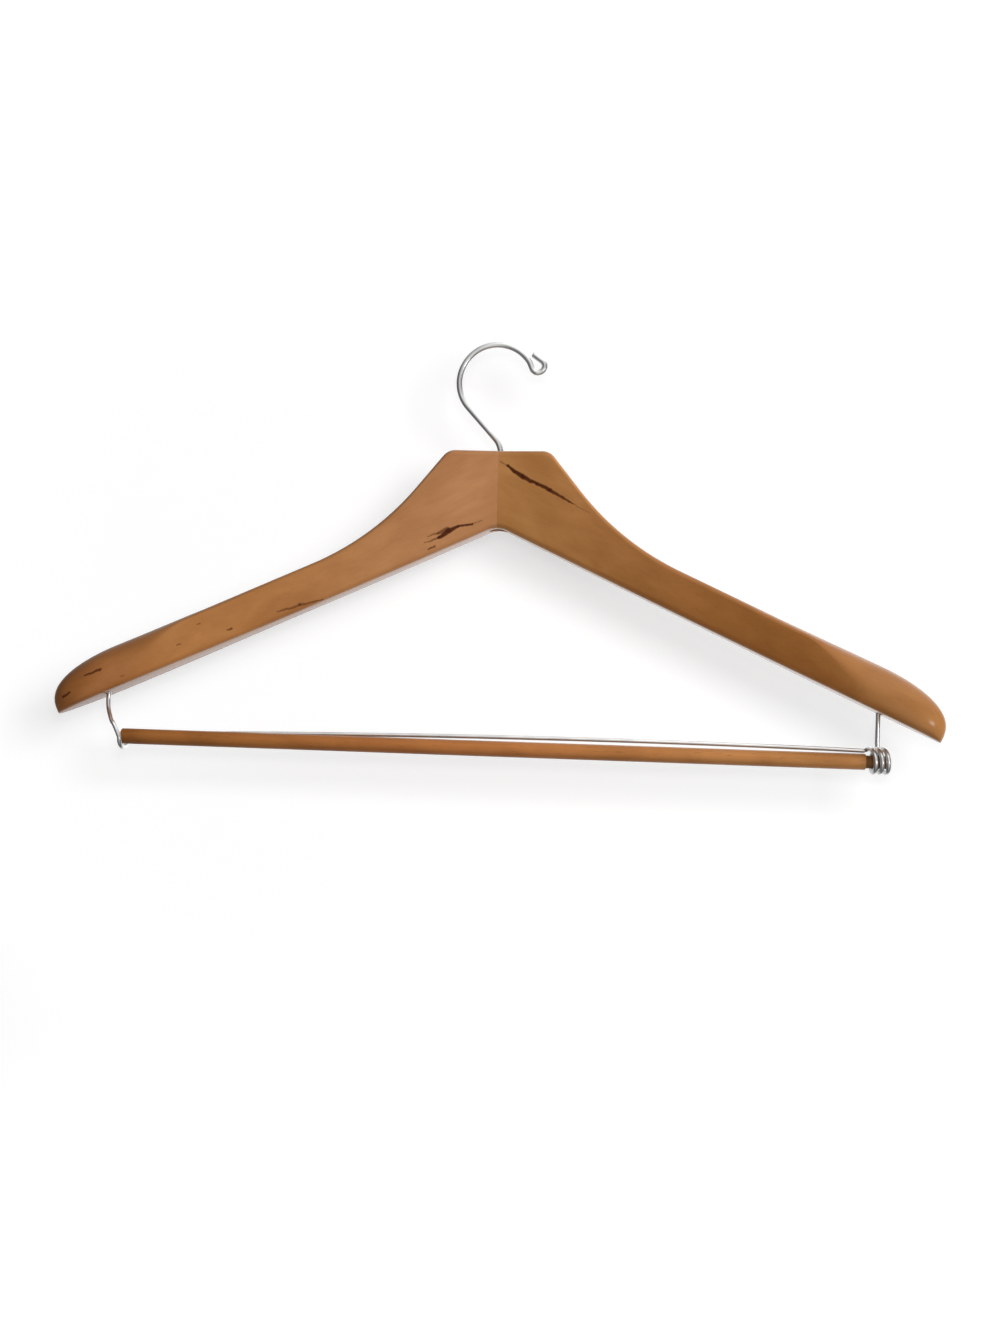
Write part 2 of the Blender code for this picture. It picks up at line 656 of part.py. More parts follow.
def build():
    for old in list(bpy.data.objects):
        bpy.data.objects.remove(old, do_unlink=True)
    left_wood = material("left_lacquered_wood", (0.47, 0.22, 0.095), 0.34, 0.0)
    right_wood = material("right_lacquered_wood", (0.34, 0.14, 0.045), 0.34, 0.0)
    bar_wood = material("bar_wood", (0.33, 0.12, 0.04), 0.42, 0.0)
    plated = material("plated_wire", (0.72, 0.72, 0.71), 0.22, 1.0)
    ring = material("plated_washer", (0.66, 0.66, 0.65), 0.3, 1.0)

    make_arm("left_arm", -1, left_wood)
    make_arm("right_arm", 1, right_wood)
    path = make_lock_wire(plated)
    make_bar(bar_wood)
    make_hook(plated)
    make_washer(ring)

    print("least gap of the spring wire to itself, mm, and where:", *least_self_gap(path, LOCK_WIRE))
    hook = [Vector((x, 0.0, z)) for x, z in hook_path()]
    print("least gap of the hook to itself, mm, and where:", *least_self_gap(hook, HOOK_WIRE))
    gap, at = least_swing_gap(path)
    print("least gap of the bar to the wire as it swings, mm:", round(gap / MM, 2), "at", at)
    print("swing centre", [round(v, 6) for v in (COIL_MIDDLE, BAR_Y, BAR_Z)])
    print("swing axis", [round(v, 6) for v in swing_axis()])


build()
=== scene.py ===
# %% [markdown]
# # A wooden suit hanger
#
# The hanger is two curved arms of lacquered wood, glued together at the neck, with a plated hook that turns
# in the neck and a round trouser bar underneath. One spring wire holds the bar. It comes out of the left arm,
# makes a seat for the bar's free end, runs back over the bar to clamp the cloth, winds round the bar's other
# end and goes up into the right arm.
#
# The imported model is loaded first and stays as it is. The wood and the wires are then built again, finer than
# the solids, in the same places, and each new piece rides on the body that its solid belongs to.

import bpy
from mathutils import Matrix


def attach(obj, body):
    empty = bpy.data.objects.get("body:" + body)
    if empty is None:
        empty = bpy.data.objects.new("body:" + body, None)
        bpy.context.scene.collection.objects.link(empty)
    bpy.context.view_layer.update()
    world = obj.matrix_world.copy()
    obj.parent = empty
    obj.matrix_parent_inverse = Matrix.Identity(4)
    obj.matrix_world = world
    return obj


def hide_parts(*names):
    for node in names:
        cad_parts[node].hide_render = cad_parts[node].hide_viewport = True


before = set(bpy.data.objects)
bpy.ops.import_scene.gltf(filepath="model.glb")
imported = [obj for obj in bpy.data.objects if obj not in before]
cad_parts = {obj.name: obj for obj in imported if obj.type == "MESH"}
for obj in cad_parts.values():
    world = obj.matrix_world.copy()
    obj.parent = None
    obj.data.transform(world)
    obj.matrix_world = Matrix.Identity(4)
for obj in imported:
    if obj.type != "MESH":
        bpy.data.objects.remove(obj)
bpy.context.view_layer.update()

# %% Libraries and the unit that sizes are written in
import math

import bpy
import numpy as np
from mathutils import Matrix, Vector

MM = 0.001


def add_object(name, data):
    """An object that shows the data, linked to the scene."""
    made = bpy.data.objects.new(name, data)
    bpy.context.scene.collection.objects.link(made)
    return made


# %% [markdown]
# ## The camera
#
# The photograph looks almost straight at the hanger, from a little to the right, at the height of the arms'
# lower edge. The hanger hangs a little crooked there. It has to stay where its solids are, so the camera is
# rolled instead. The photograph is a crop, so a small lens shift moves its middle off the lens's middle. A
# focal length in pixels turns into a lens by the sensor's height.

# %% Place the camera
PICTURE_HEIGHT = 1329
FOCAL_PIXELS = 1378.7
CENTRE_SHIFT_PIXELS = -20.0
VIEW_TURN = math.radians(5.626)
VIEW_ROLL = math.radians(1.662)
EYE = Vector((63.4 * MM, -722.0 * MM, -166.2 * MM))

ahead = Vector((-math.sin(VIEW_TURN), math.cos(VIEW_TURN), 0.0))
level = Vector((math.cos(VIEW_TURN), math.sin(VIEW_TURN), 0.0))
upright = Vector((0.0, 0.0, 1.0))

lens = bpy.data.cameras.new("front_view")
lens.sensor_fit = "VERTICAL"
lens.sensor_height = 36.0
lens.lens = lens.sensor_height * FOCAL_PIXELS / PICTURE_HEIGHT
lens.clip_start = 0.01
lens.shift_x = -CENTRE_SHIFT_PIXELS * math.cos(VIEW_ROLL) / PICTURE_HEIGHT
lens.shift_y = CENTRE_SHIFT_PIXELS * math.sin(VIEW_ROLL) / PICTURE_HEIGHT
camera = add_object("front_view", lens)
picture_right = level * math.cos(VIEW_ROLL) + upright * math.sin(VIEW_ROLL)
picture_up = upright * math.cos(VIEW_ROLL) - level * math.sin(VIEW_ROLL)
turned_axes = Matrix((picture_right, picture_up, -ahead)).transposed().to_4x4()
camera.matrix_world = Matrix.Translation(EYE) @ turned_axes
bpy.context.scene.camera = camera
print("lens, mm:", round(lens.lens, 2), "shift:", round(lens.shift_x, 4))

# %% [markdown]
# ## Helpers for meshes
#
# Every wooden or metal piece here is a smooth form with a few crisp edges. The first helper shades a mesh
# smooth and keeps an edge sharp only where its faces meet at more than a set angle, so a rim stays crisp and
# a curve stays soft. Arms, wires and bar are rings of points, and the second helper lists the faces between
# them.

# %% Make a mesh object
CRISP_ANGLE = math.radians(32.0)


def make_mesh(name, points, faces):
    """A mesh object, smooth but for its crisp edges."""
    mesh = bpy.data.meshes.new(name)
    mesh.from_pydata([tuple(p) for p in points], [], faces)
    mesh.validate()
    mesh.shade_smooth()
    mesh.set_sharp_from_angle(angle=CRISP_ANGLE)
    return add_object(name, mesh)


def tube_faces(rings, sides):
    """Faces between neighbouring rings of points, and one across each end."""
    faces = []
    for i in range(rings - 1):
        for k in range(sides):
            n = (k + 1) % sides
            faces.append((i * sides + k, i * sides + n, (i + 1) * sides + n, (i + 1) * sides + k))
    last = (rings - 1) * sides
    return faces + [tuple(range(sides))[::-1], tuple(last + k for k in range(sides))]


def ease(value):
    """0 below 0, 1 above 1, and a smooth step between."""
    t = min(max(value, 0.0), 1.0)
    return t * t * (3.0 - 2.0 * t)


# %% Angles and circles
def quarter_turn(steps):
    """Angles from 0 to 90 degrees."""
    return [math.pi / 2 * k / steps for k in range(steps + 1)]


def circle(radius, sides):
    """Points round a circle in a plane."""
    angles = [2.0 * math.pi * k / sides for k in range(sides)]
    return [(radius * math.cos(a), radius * math.sin(a)) for a in angles]


# %% [markdown]
# ## The arms' outline
#
# Seen from the front, an arm has a straight lower edge, a flat neck top, a side of the neck that sweeps into
# the upper edge, and a round tip. Their sizes were measured on the photograph. The outline is drawn for the
# right arm, with the middle of the neck's top as zero, and the left arm is its mirror image.

# %% Sizes of the arms
NECK_Z = -55.3 * MM
SPAN = 445.0 * MM
HALF_SPAN = SPAN / 2
ARM_SLOPE = math.radians(25.2)
NECK_TOP_WIDTH = 52.8 * MM
NECK_HEIGHT = 39.0 * MM
NECK_SIDE_SLOPE = math.radians(51.3)
NECK_CORNER_RADIUS = 8.0 * MM
NOTCH_RADIUS = 12.0 * MM
NECK_SWEEP_RADIUS = 147.0 * MM
ARM_DEPTH = 20.2 * MM
SHOULDER_DEPTH = 21.0 * MM
SHOULDER_RUN = 55.0 * MM
TIP_LENGTH = 40.0 * MM
TIP_HEIGHT_POWERS = (2.1, 2.8)
ALONG = np.array([math.cos(ARM_SLOPE), -math.sin(ARM_SLOPE)])
ACROSS = np.array([math.sin(ARM_SLOPE), math.cos(ARM_SLOPE)])


def tip_share(t, powers):
    """How much of its full size a rounded tip keeps at t, from 0 where it starts to 1 at its end."""
    return max(1.0 - t ** powers[0], 0.0) ** (1.0 / powers[1])


overhang = max(
    SHOULDER_DEPTH * tip_share(t, TIP_HEIGHT_POWERS) * math.sin(ARM_SLOPE)
    - (1.0 - t) * TIP_LENGTH * math.cos(ARM_SLOPE)
    for t in np.linspace(0.5, 1.0, 101)
)
ARM_LENGTH = (HALF_SPAN - overhang) / math.cos(ARM_SLOPE)
TIP_START = ARM_LENGTH - TIP_LENGTH
SHOULDER_START = TIP_START - SHOULDER_RUN
print("an arm's lower edge, mm:", round(ARM_LENGTH / MM, 1))

# %% Lower edge
def underside(s):
    """The point s along the straight lower edge."""
    return np.array([0.0, -NECK_HEIGHT]) + s * ALONG


def underside_z(x):
    """Height of the lower edge at x, with the notch between the arms rounded."""
    flat = NOTCH_RADIUS * math.sin(ARM_SLOPE)
    if x < flat:
        return -NECK_HEIGHT - NOTCH_RADIUS / math.cos(ARM_SLOPE) + math.sqrt(NOTCH_RADIUS**2 - x**2)
    return -NECK_HEIGHT - x * math.tan(ARM_SLOPE)


def depth_at(s):
    """Depth of the arm, square to its lower edge, at s along it."""
    full = ARM_DEPTH + (SHOULDER_DEPTH - ARM_DEPTH) * ease((s - SHOULDER_START) / SHOULDER_RUN)
    return full * tip_share(max(0.0, (s - TIP_START) / TIP_LENGTH), TIP_HEIGHT_POWERS)


# %% Round the corners of a line
def bow(centre, radius, start, turn, steps):
    """Points on a circle in a plane, the first one left out."""
    angles = [start + turn * k / steps for k in range(1, steps + 1)]
    return [(centre[0] + radius * math.cos(a), centre[1] + radius * math.sin(a)) for a in angles]


def rounded(corners, radii, steps):
    """The line through the corners, with each inner corner rounded by its radius."""
    points = [np.array(corners[0])]
    for before, corner, after, radius in zip(corners, corners[1:], corners[2:], radii):
        p = np.array(corner)
        back = np.array(before) - p
        forth = np.array(after) - p
        back /= np.linalg.norm(back)
        forth /= np.linalg.norm(forth)
        half = math.acos(float(np.dot(back, forth))) / 2.0
        middle = p + (back + forth) / np.linalg.norm(back + forth) * radius / math.sin(half)
        first = p + back * radius / math.tan(half) - middle
        last = p + forth * radius / math.tan(half) - middle
        start = math.atan2(first[1], first[0])
        turn = (math.atan2(last[1], last[0]) - start + math.pi) % (2.0 * math.pi) - math.pi
        points.append(middle + first)
        points += [np.array(q) for q in bow(middle, radius, start, turn, steps)]
    points.append(np.array(corners[-1]))
    return points


# %% Upper edge
CORNER_STEPS, SHOULDER_STEPS, RIM_STEPS = 48, 20, 80


def draw_top_edge():
    """The upper outline, from the middle of the neck to the end of the tip."""
    corner = NECK_TOP_WIDTH / 2
    arm_top = -NECK_HEIGHT + ARM_DEPTH / math.cos(ARM_SLOPE)
    side = math.tan(NECK_SIDE_SLOPE)
    meet = (side * corner - arm_top) / (side - math.tan(ARM_SLOPE))
    shoulder = underside(SHOULDER_START) + ACROSS * ARM_DEPTH
    corners = [(0.0, 0.0), (corner, 0.0), (meet, side * (corner - meet)), tuple(shoulder)]
    points = rounded(corners, (NECK_CORNER_RADIUS, NECK_SWEEP_RADIUS), CORNER_STEPS)
    places = [SHOULDER_START + SHOULDER_RUN * k / SHOULDER_STEPS for k in range(1, SHOULDER_STEPS + 1)]
    places += [TIP_START + TIP_LENGTH * math.sin(a) for a in quarter_turn(RIM_STEPS)[1:]]
    return points + [underside(s) + ACROSS * depth_at(s) for s in places]


top_edge = draw_top_edge()
print("points on the upper outline:", len(top_edge))

# %% Height of the outline over the lower edge
def cross(a, b):
    """The cross product of two directions in a plane."""
    return a[0] * b[1] - a[1] * b[0]


def height_on(base, direction):
    """How far the upper outline lies from the base along a unit direction."""
    best = 0.0
    for a, b in zip(top_edge, top_edge[1:]):
        span = b - a
        bottom = cross(direction, span)
        if abs(bottom) < 1e-12:
            continue
        reach = cross(a - base, span) / bottom
        share = cross(a - base, direction) / bottom
        if -1e-9 <= share <= 1.0 + 1e-9 and reach > best:
            best = reach
    return best


# %% [markdown]
# ## The arms' shape from above
#
# From above, both arms sweep forward like shoulders and swell towards their ends. At the neck the section is
# a board with rounded edges. Over the shoulder its edges grow into a broad dome, so a crease runs across the
# face where the flat board turns into the dome. Carving that from a block takes many cuts, so the arm is a
# loft: a stack of sections that change smoothly along its length.

# %% Plan sizes of the arms
BOARD_THICKNESS = 22.0 * MM
SHOULDER_WIDTH = 30.0 * MM
FLARE_RUN = 88.0 * MM
TIP_FORWARD = 38.0 * MM
MITRE_ANGLE = math.radians(4.0)
TIP_PLAN_POWERS = (2.3, 2.2)
EDGE_RADIUS = 3.0 * MM
CREASE_BACK = 41.0 * MM
CREASE_RUN = 44.0 * MM
CROWN_SHARE = 0.46
FLARE_START = TIP_START - FLARE_RUN


def sweep_y(x):
    """How far the arm's middle has swept forward at x."""
    straight = math.tan(MITRE_ANGLE)
    return -(abs(x) * straight + (TIP_FORWARD - HALF_SPAN * straight) * (x / HALF_SPAN) ** 2)


def width_at(s):
    """Width of the arm from front to back."""
    full = BOARD_THICKNESS + (SHOULDER_WIDTH - BOARD_THICKNESS) * ease((s - FLARE_START) / FLARE_RUN)
    return full * tip_share(max(0.0, (s - TIP_START) / TIP_LENGTH), TIP_PLAN_POWERS)


# %% One section of an arm
EDGE_STEPS = 6
CROWN_STEPS = 14
THIN_EDGE = 0.2
CROWN_TOP = 0.94


def section(s, height):
    """The arm's section as (y, height) pairs, from the underside up the front, over and down the back."""
    width = width_at(s)
    dome = ease((s - FLARE_START) / FLARE_RUN)
    fall = ease((s - TIP_START + CREASE_BACK) / CREASE_RUN)
    low = min(EDGE_RADIUS, THIN_EDGE * width, THIN_EDGE * height)
    wide = min(EDGE_RADIUS + (CROWN_SHARE * width - EDGE_RADIUS) * dome, CROWN_SHARE * width)
    highest = CROWN_TOP * height - low
    tall = min(EDGE_RADIUS + (highest - EDGE_RADIUS) * fall, highest)
    half = width / 2
    front = [(-half + low - low * math.sin(a), low - low * math.cos(a)) for a in quarter_turn(EDGE_STEPS)]
    for a in quarter_turn(CROWN_STEPS):
        front.append((-half + wide - wide * math.cos(a), height - tall + tall * math.sin(a)))
    return front + [(-y, h) for y, h in reversed(front)]


# %% Loft an arm through its sections
GLUE_GAP = 0.04 * MM
LEAN_START = 120.0 * MM
LEAN_RUN = 50.0 * MM
TIP_SECTIONS = 24
TIP_CUT = 0.999
STATION_ENDS = (GLUE_GAP / 2, 12.0 * MM, 22.0 * MM, 34.0 * MM, 112.0 * MM, SHOULDER_START, TIP_START)
STATION_COUNTS = (8, 5, 14, 26, 8, 26)


def stations():
    """Places along the lower edge where a section is drawn, close together where the form changes."""
    found = []
    for start, end, count in zip(STATION_ENDS, STATION_ENDS[1:], STATION_COUNTS):
        found += [start + (end - start) * k / count for k in range(count)]
    found += [TIP_START + TIP_LENGTH * math.sin(a) for a in quarter_turn(TIP_SECTIONS)[:-1]]
    return found + [TIP_START + TIP_LENGTH * TIP_CUT]


def loft_arm(name, side):
    """One arm, from upright sections at the neck to sections square to the arm at its tip."""
    points = []
    places = stations()
    for s in places:
        lean = ARM_SLOPE * ease((s - LEAN_START) / LEAN_RUN)
        direction = np.array([math.sin(lean), math.cos(lean)])
        base = underside(s)
        base[1] = underside_z(base[0])
        for y, h in section(s, height_on(base, direction)):
            place = base + direction * h
            points.append((side * place[0], y + sweep_y(place[0]), NECK_Z + place[1]))
    # Sections run round the other way than a tube's rings, so each face is turned over about its first point.
    faces = [f[:1] + f[:0:-1] for f in tube_faces(len(places), len(points) // len(places))]
    if side < 0:
        faces = [f[::-1] for f in faces]
    return make_mesh(name, points, faces)


left_wood = loft_arm("carved_left_arm", -1)
right_wood = loft_arm("carved_right_arm", 1)
print("faces on each arm before cutting:", len(left_wood.data.polygons))

# %% [markdown]
# ## The joint in the neck and the drilled holes
#
# The two arms meet in a finger joint: each has one finger that fits a slot in the other. The hook's shank
# passes down through the neck, a wider hole under the neck takes its head, and each leg of the spring wire
# stands in a hole in its arm. A joiner cuts these with tools, and so does a Boolean modifier, whose exact
# solver leaves clean edges.

# %% Sizes of the joint and the holes
FINGER_LENGTH = 8.0 * MM
FINGER_HALF = 2.0 * MM
FINGER_OFFSET = 5.2 * MM
FINGER_FOOT = 6.5 * MM
FINGER_TOP_DROP = 0.2 * MM
FINGER_ROOT = 2.0 * MM
CUT_PAST = 1.0 * MM
HOOK_R = 3.175 * MM / 2
LOCK_R = 2.38 * MM / 2
PLAY = 0.3 * MM
WASHER_RADIUS = 4.5 * MM
COUNTERBORE_DEPTH = 4.6 * MM
COUNTERBORE_TOP = NECK_Z + underside_z(0.0) + COUNTERBORE_DEPTH
LEFT_LEG_X = 196.7 * MM
RIGHT_LEG_X = 193.4 * MM
LEG_DEPTH = 14.0 * MM
LEG_PLAY = 0.1 * MM

# %% Sizes of the bar and the coil
BAR_R = 7.94 * MM / 2
BAR_END_R = 6.35 * MM / 2
BAR_LEFT = 189.2 * MM
BAR_Y = sweep_y(LEFT_LEG_X)
BAR_DROP = 153.4 * MM
BAR_Z = NECK_Z - BAR_DROP
COIL_TURNS = 2.5
COIL_PITCH = 3.05 * MM
COIL_START = 188.7 * MM
COIL_END = COIL_START + COIL_TURNS * COIL_PITCH
COIL_PLAY = 1.35 * MM
COIL_R = BAR_END_R + COIL_PLAY + LOCK_R
COIL_LIFT = 0.65 * MM
COIL_SKEW = 0.15
TAIL_GAP = 0.65 * MM
TAIL_R = COIL_R + 2 * LOCK_R + TAIL_GAP
leg_places = {-1: (-LEFT_LEG_X, BAR_Y), 1: (RIGHT_LEG_X, BAR_Y + TAIL_R)}
leg_tops = {side: NECK_Z + underside_z(abs(place[0])) + LEG_DEPTH for side, place in leg_places.items()}
print("bar's axis at y, z, mm:", round(BAR_Y / MM, 2), round(BAR_Z / MM, 2))


# %% Cutting tools
def block(name, low, high):
    """A box between two corners."""
    points = [(x, y, z) for x in (low[0], high[0]) for y in (low[1], high[1]) for z in (low[2], high[2])]
    faces = [(0, 1, 3, 2), (4, 6, 7, 5), (0, 4, 5, 1), (2, 3, 7, 6), (0, 2, 6, 4), (1, 5, 7, 3)]
    return make_mesh(name, points, faces)


def drill(name, place, radius, low, high, sides=48):
    """An upright cylinder from low to high."""
    ring = circle(radius, sides)
    points = [(place[0] + x, place[1] + y, z) for z in (low, high) for x, y in ring]
    return make_mesh(name, points, tube_faces(2, sides))


# %% Cut one arm
def work_arm(arm, side):
    """Adds the arm's finger and cuts the other arm's slot, the hook's holes and the wire's hole."""
    foot = NECK_Z - NECK_HEIGHT + FINGER_FOOT
    below = NECK_Z - 1.5 * NECK_HEIGHT
    centre = side * FINGER_OFFSET
    near, far = sorted((side * FINGER_ROOT, -side * FINGER_LENGTH))
    top = NECK_Z - FINGER_TOP_DROP
    finger = block("finger", (near, centre - FINGER_HALF, foot), (far, centre + FINGER_HALF, top))
    near, far = sorted((-side * CUT_PAST, side * (FINGER_LENGTH + GLUE_GAP)))
    half = FINGER_HALF + GLUE_GAP
    slot = block("slot", (near, -centre - half, foot - GLUE_GAP), (far, -centre + half, NECK_Z + CUT_PAST))
    bore = drill("bore", (0.0, 0.0), HOOK_R + PLAY, below, NECK_Z + 2 * CUT_PAST)
    seat = drill("seat", (0.0, 0.0), WASHER_RADIUS + PLAY, below, COUNTERBORE_TOP)
    leg = drill("leg", leg_places[side], LOCK_R + LEG_PLAY, BAR_Z, leg_tops[side] + PLAY)
    tools = (finger, slot, bore, seat, leg)
    for tool in tools:
        step = arm.modifiers.new(tool.name, "BOOLEAN")
        step.operation = "UNION" if tool == finger else "DIFFERENCE"
        step.solver = "EXACT"
        step.object = tool
    worked = bpy.data.meshes.new_from_object(arm.evaluated_get(bpy.context.evaluated_depsgraph_get()))
    arm.modifiers.clear()
    arm.data = worked
    worked.set_sharp_from_angle(angle=CRISP_ANGLE)
    for tool in tools:
        bpy.data.objects.remove(tool, do_unlink=True)


work_arm(left_wood, -1)
work_arm(right_wood, 1)
for arm in (left_wood, right_wood):
    print(arm.name, "faces:", len(arm.data.polygons))

# %% [markdown]
# ## Wires
#
# The hook and the spring wire are round wire bent along a path. A bevelled curve's rings twist where its path
# turns in space. Here each ring is carried along from the one before, turned only as much as the path itself
# turns, so the wire's surface stays even through the coil.

# %% Sweep a round wire along a path
def sweep_wire(name, path, radii, sides=28):
    """A closed tube along the path, whose rings turn no more than the path does."""
    path = [Vector(p) for p in path]
    headings = [(b - a).normalized() for a, b in zip(path, path[1:])]
    tangents = [headings[0]] + [(a + b).normalized() for a, b in zip(headings, headings[1:])] + [headings[-1]]
    side = tangents[0].orthogonal().normalized()
    points = []
    for index, (place, tangent, radius) in enumerate(zip(path, tangents, radii)):
        if index:
            side = tangents[index - 1].rotation_difference(tangent) @ side
        side = (side - tangent * side.dot(tangent)).normalized()
        other = tangent.cross(side)
        points += [place + (side * x + other * y) * radius for x, y in circle(1.0, sides)]
    return make_mesh(name, points, tube_faces(len(path), sides))


def smooth_route(points, step):
    """A smooth curve through the points, read about every step."""
    route = [Vector(p) for p in points]
    route = [route[0] * 2 - route[1]] + route + [route[-1] * 2 - route[-2]]
    found = []
    for a, b, c, d in zip(route, route[1:], route[2:], route[3:]):
        count = max(1, round((c - b).length / step))
        slope = (c - a, 2 * a - 5 * b + 4 * c - d, 3 * b - a - 3 * c + d)
        for t in (k / count for k in range(count)):
            found.append(b + (slope[0] * t + slope[1] * t**2 + slope[2] * t**3) / 2)
    found.append(route[-2])
    return found


# %% [markdown]
# ## The hook
#
# The hook is one plated wire. Its lower end is spread into a head that holds the washer under the neck. It
# bends to one side above the neck, goes round the rail as a crook, and ends in a small eye that can't snag
# cloth. All of it lies in one plane, so its path is drawn with arcs and straights.

# %% Sizes of the hook
CROOK_RADIUS = 20.0 * MM
CROOK_SHIFT = 2.9 * MM
CHEEK_RADIUS = 18.9 * MM
CHEEK_START = math.radians(197.0)
STEM_SLOPE = math.radians(47.8)
FOOT_BEND_RADIUS = 12.3 * MM
CROOK_END = math.radians(36.5)
LIP_RADIUS = 10.6 * MM
LIP_TURN = math.radians(14.3)
LIP_STRAIGHT = 2.1 * MM
EYE_RADIUS = 3.4 * MM
EYE_TURN = math.radians(212.3)
EYE_TAIL = 6.0 * MM
HEAD_RADIUS = 2.9 * MM
HEAD_HEIGHT = 1.5 * MM
WASHER_THICKNESS = 1.0 * MM
END_BEVEL = 0.35 * MM


def step_ahead(place, heading, reach):
    """The point at a reach from a place along a heading, in a plane."""
    return (place[0] + reach * math.cos(heading), place[1] + reach * math.sin(heading))


# %% Path of the hook
def hook_path():
    """The hook's centre line from its head under the neck to the end of its eye, as (x, z)."""
    centre = (-CROOK_SHIFT, -math.sqrt((CROOK_RADIUS - HOOK_R) ** 2 - CROOK_SHIFT**2))
    inner = CROOK_RADIUS - CHEEK_RADIUS
    cheek = (centre[0] + inner * math.cos(CHEEK_START), centre[1] + inner * math.sin(CHEEK_START))
    leave = math.pi * 1.5 - STEM_SLOPE
    low = (cheek[0] + CHEEK_RADIUS * math.cos(leave), cheek[1] + CHEEK_RADIUS * math.sin(leave))
    corner = (0.0, low[1] + low[0] * math.tan(STEM_SLOPE))
    washer_low = COUNTERBORE_TOP - 2 * PLAY - WASHER_THICKNESS
    stem = [(0.0, washer_low - HEAD_HEIGHT), corner, low]
    path = [tuple(p) for p in rounded(stem, (FOOT_BEND_RADIUS,), steps=16)]
    path += bow(cheek, CHEEK_RADIUS, leave, CHEEK_START - leave, steps=14)
    path += bow(centre, CROOK_RADIUS, CHEEK_START, CROOK_END - CHEEK_START, steps=60)
    heading = CROOK_END - math.pi / 2
    inner = CROOK_RADIUS - LIP_RADIUS
    lip = (centre[0] + inner * math.cos(CROOK_END), centre[1] + inner * math.sin(CROOK_END))
    path += bow(lip, LIP_RADIUS, CROOK_END, -LIP_TURN, steps=6)
    heading -= LIP_TURN
    path.append(step_ahead(path[-1], heading, LIP_STRAIGHT))
    eye = step_ahead(path[-1], heading + math.pi / 2, EYE_RADIUS)
    path += bow(eye, EYE_RADIUS, heading - math.pi / 2, EYE_TURN, steps=32)
    path.append(step_ahead(path[-1], heading + EYE_TURN, EYE_TAIL - END_BEVEL))
    path.append(step_ahead(path[-1], heading + EYE_TURN, END_BEVEL))
    return path


# %% Bend the hook
# The head's profile: shares of its height, each with its share of the head's radius.
HEAD_PROFILE = ((0.0, 0.7), (0.08, 0.9), (0.25, 1.0), (0.8, 1.0), (0.95, 0.9))
HEAD_TO_WIRE = 1.05
hook_line = [(x, 0.0, z) for x, z in hook_path()]
foot_z = hook_line[0][2]
head = [(HEAD_HEIGHT * high, HEAD_RADIUS * wide) for high, wide in HEAD_PROFILE]
head.append((HEAD_HEIGHT * HEAD_TO_WIRE, HOOK_R))
head_line = [(0.0, 0.0, foot_z + high) for high, _ in head]
hook_sizes = [size for _, size in head] + [HOOK_R] * (len(hook_line) - 2) + [HOOK_R - END_BEVEL]
bent_hook = sweep_wire("bent_hook", head_line + hook_line[1:], hook_sizes)
print("hook's wire, mm:", round(2 * HOOK_R / MM, 3), "faces:", len(bent_hook.data.polygons))

# %% [markdown]
# ## The spring wire
#
# This wire carries the bar and clamps the cloth. Its path has a leg, a seat under the bar's free end, a long
# run that leans over the bar, two and a half turns round the bar's thin end, and a second leg. It is measured
# from the bar's own axis, because everything on it keeps a set distance from the bar.

# %% Sizes of the spring wire
SEAT_GAP = 0.55 * MM
RUN_PLAY = 1.4 * MM
RUN_LEFT_RISE = 1.0 * MM
RUN_RIGHT_RISE = 5.3 * MM
RUN_BOW = 2.5 * MM
RUN_BACK_POWER = 0.35
COIL_LEAD = 3.0 * MM
KEEPER_INSET = 0.85 * MM
KEEPER_BEND = 2.6 * MM
KEEPER_SLANT = 0.4 * MM
KEEPER_SHIFT = 0.25 * MM
KEEPER_ENTRY_LEFT = 1.7 * MM
KEEPER_ENTRY_FRONT = 0.1 * MM
KEEPER_R = BAR_R + LOCK_R + SEAT_GAP
KEEPER_X = -BAR_LEFT + KEEPER_INSET


def run_point(share):
    """A point of the clamping run, from 0 at the coil to 1 at the seat, from the bar's axis."""
    x = COIL_START - COIL_LEAD + (KEEPER_X + KEEPER_BEND - COIL_START + COIL_LEAD) * share
    back = COIL_LEAD + (BAR_R + LOCK_R + RUN_PLAY - COIL_LEAD) * share**RUN_BACK_POWER
    rise = (1.0 - share) * RUN_RIGHT_RISE + share * RUN_LEFT_RISE + 4.0 * RUN_BOW * share * (1.0 - share)
    return (x, back, rise)


# %% Left leg and seat
SEAT_STEPS = 8


def seat_path():
    """The wire from the left arm down, forward to the bar's front, and round under the bar's free end."""
    top = leg_tops[-1] - BAR_Z
    brow = NECK_Z + underside_z(LEFT_LEG_X) - BAR_Z
    bend = brow - 0.4 * (brow - KEEPER_R)
    x = -LEFT_LEG_X
    route = [(x, 0.0, top), (x, 0.0, (top + bend) / 2), (x, -0.1 * KEEPER_R, bend)]
    route.append((x + 0.42 * (KEEPER_X - x), -0.75 * KEEPER_R, 0.5 * bend))
    route.append((KEEPER_X - KEEPER_ENTRY_LEFT, -KEEPER_R - KEEPER_ENTRY_FRONT, 0.8 * KEEPER_R))
    path = smooth_route(route, step=3.0 * MM)[:-1]
    for k in range(SEAT_STEPS + 1):
        a = math.pi * k / SEAT_STEPS
        y = KEEPER_SHIFT - (KEEPER_R + KEEPER_SHIFT) * math.cos(a)
        path.append(Vector((KEEPER_X - KEEPER_SLANT * math.cos(a), y, -KEEPER_R * math.sin(a))))
    back = run_point(1.0)
    path.append(Vector((KEEPER_X + 1.2 * KEEPER_SLANT, (path[-1].y + back[1]) / 2, 0.5 * back[2])))
    path.append(Vector((KEEPER_X + 0.5 * KEEPER_BEND, back[1], 0.85 * back[2])))
    return path


# %% Coil and right leg
LEAD_STEPS, TURN_STEPS, TAIL_STEPS = 4, 10, 5


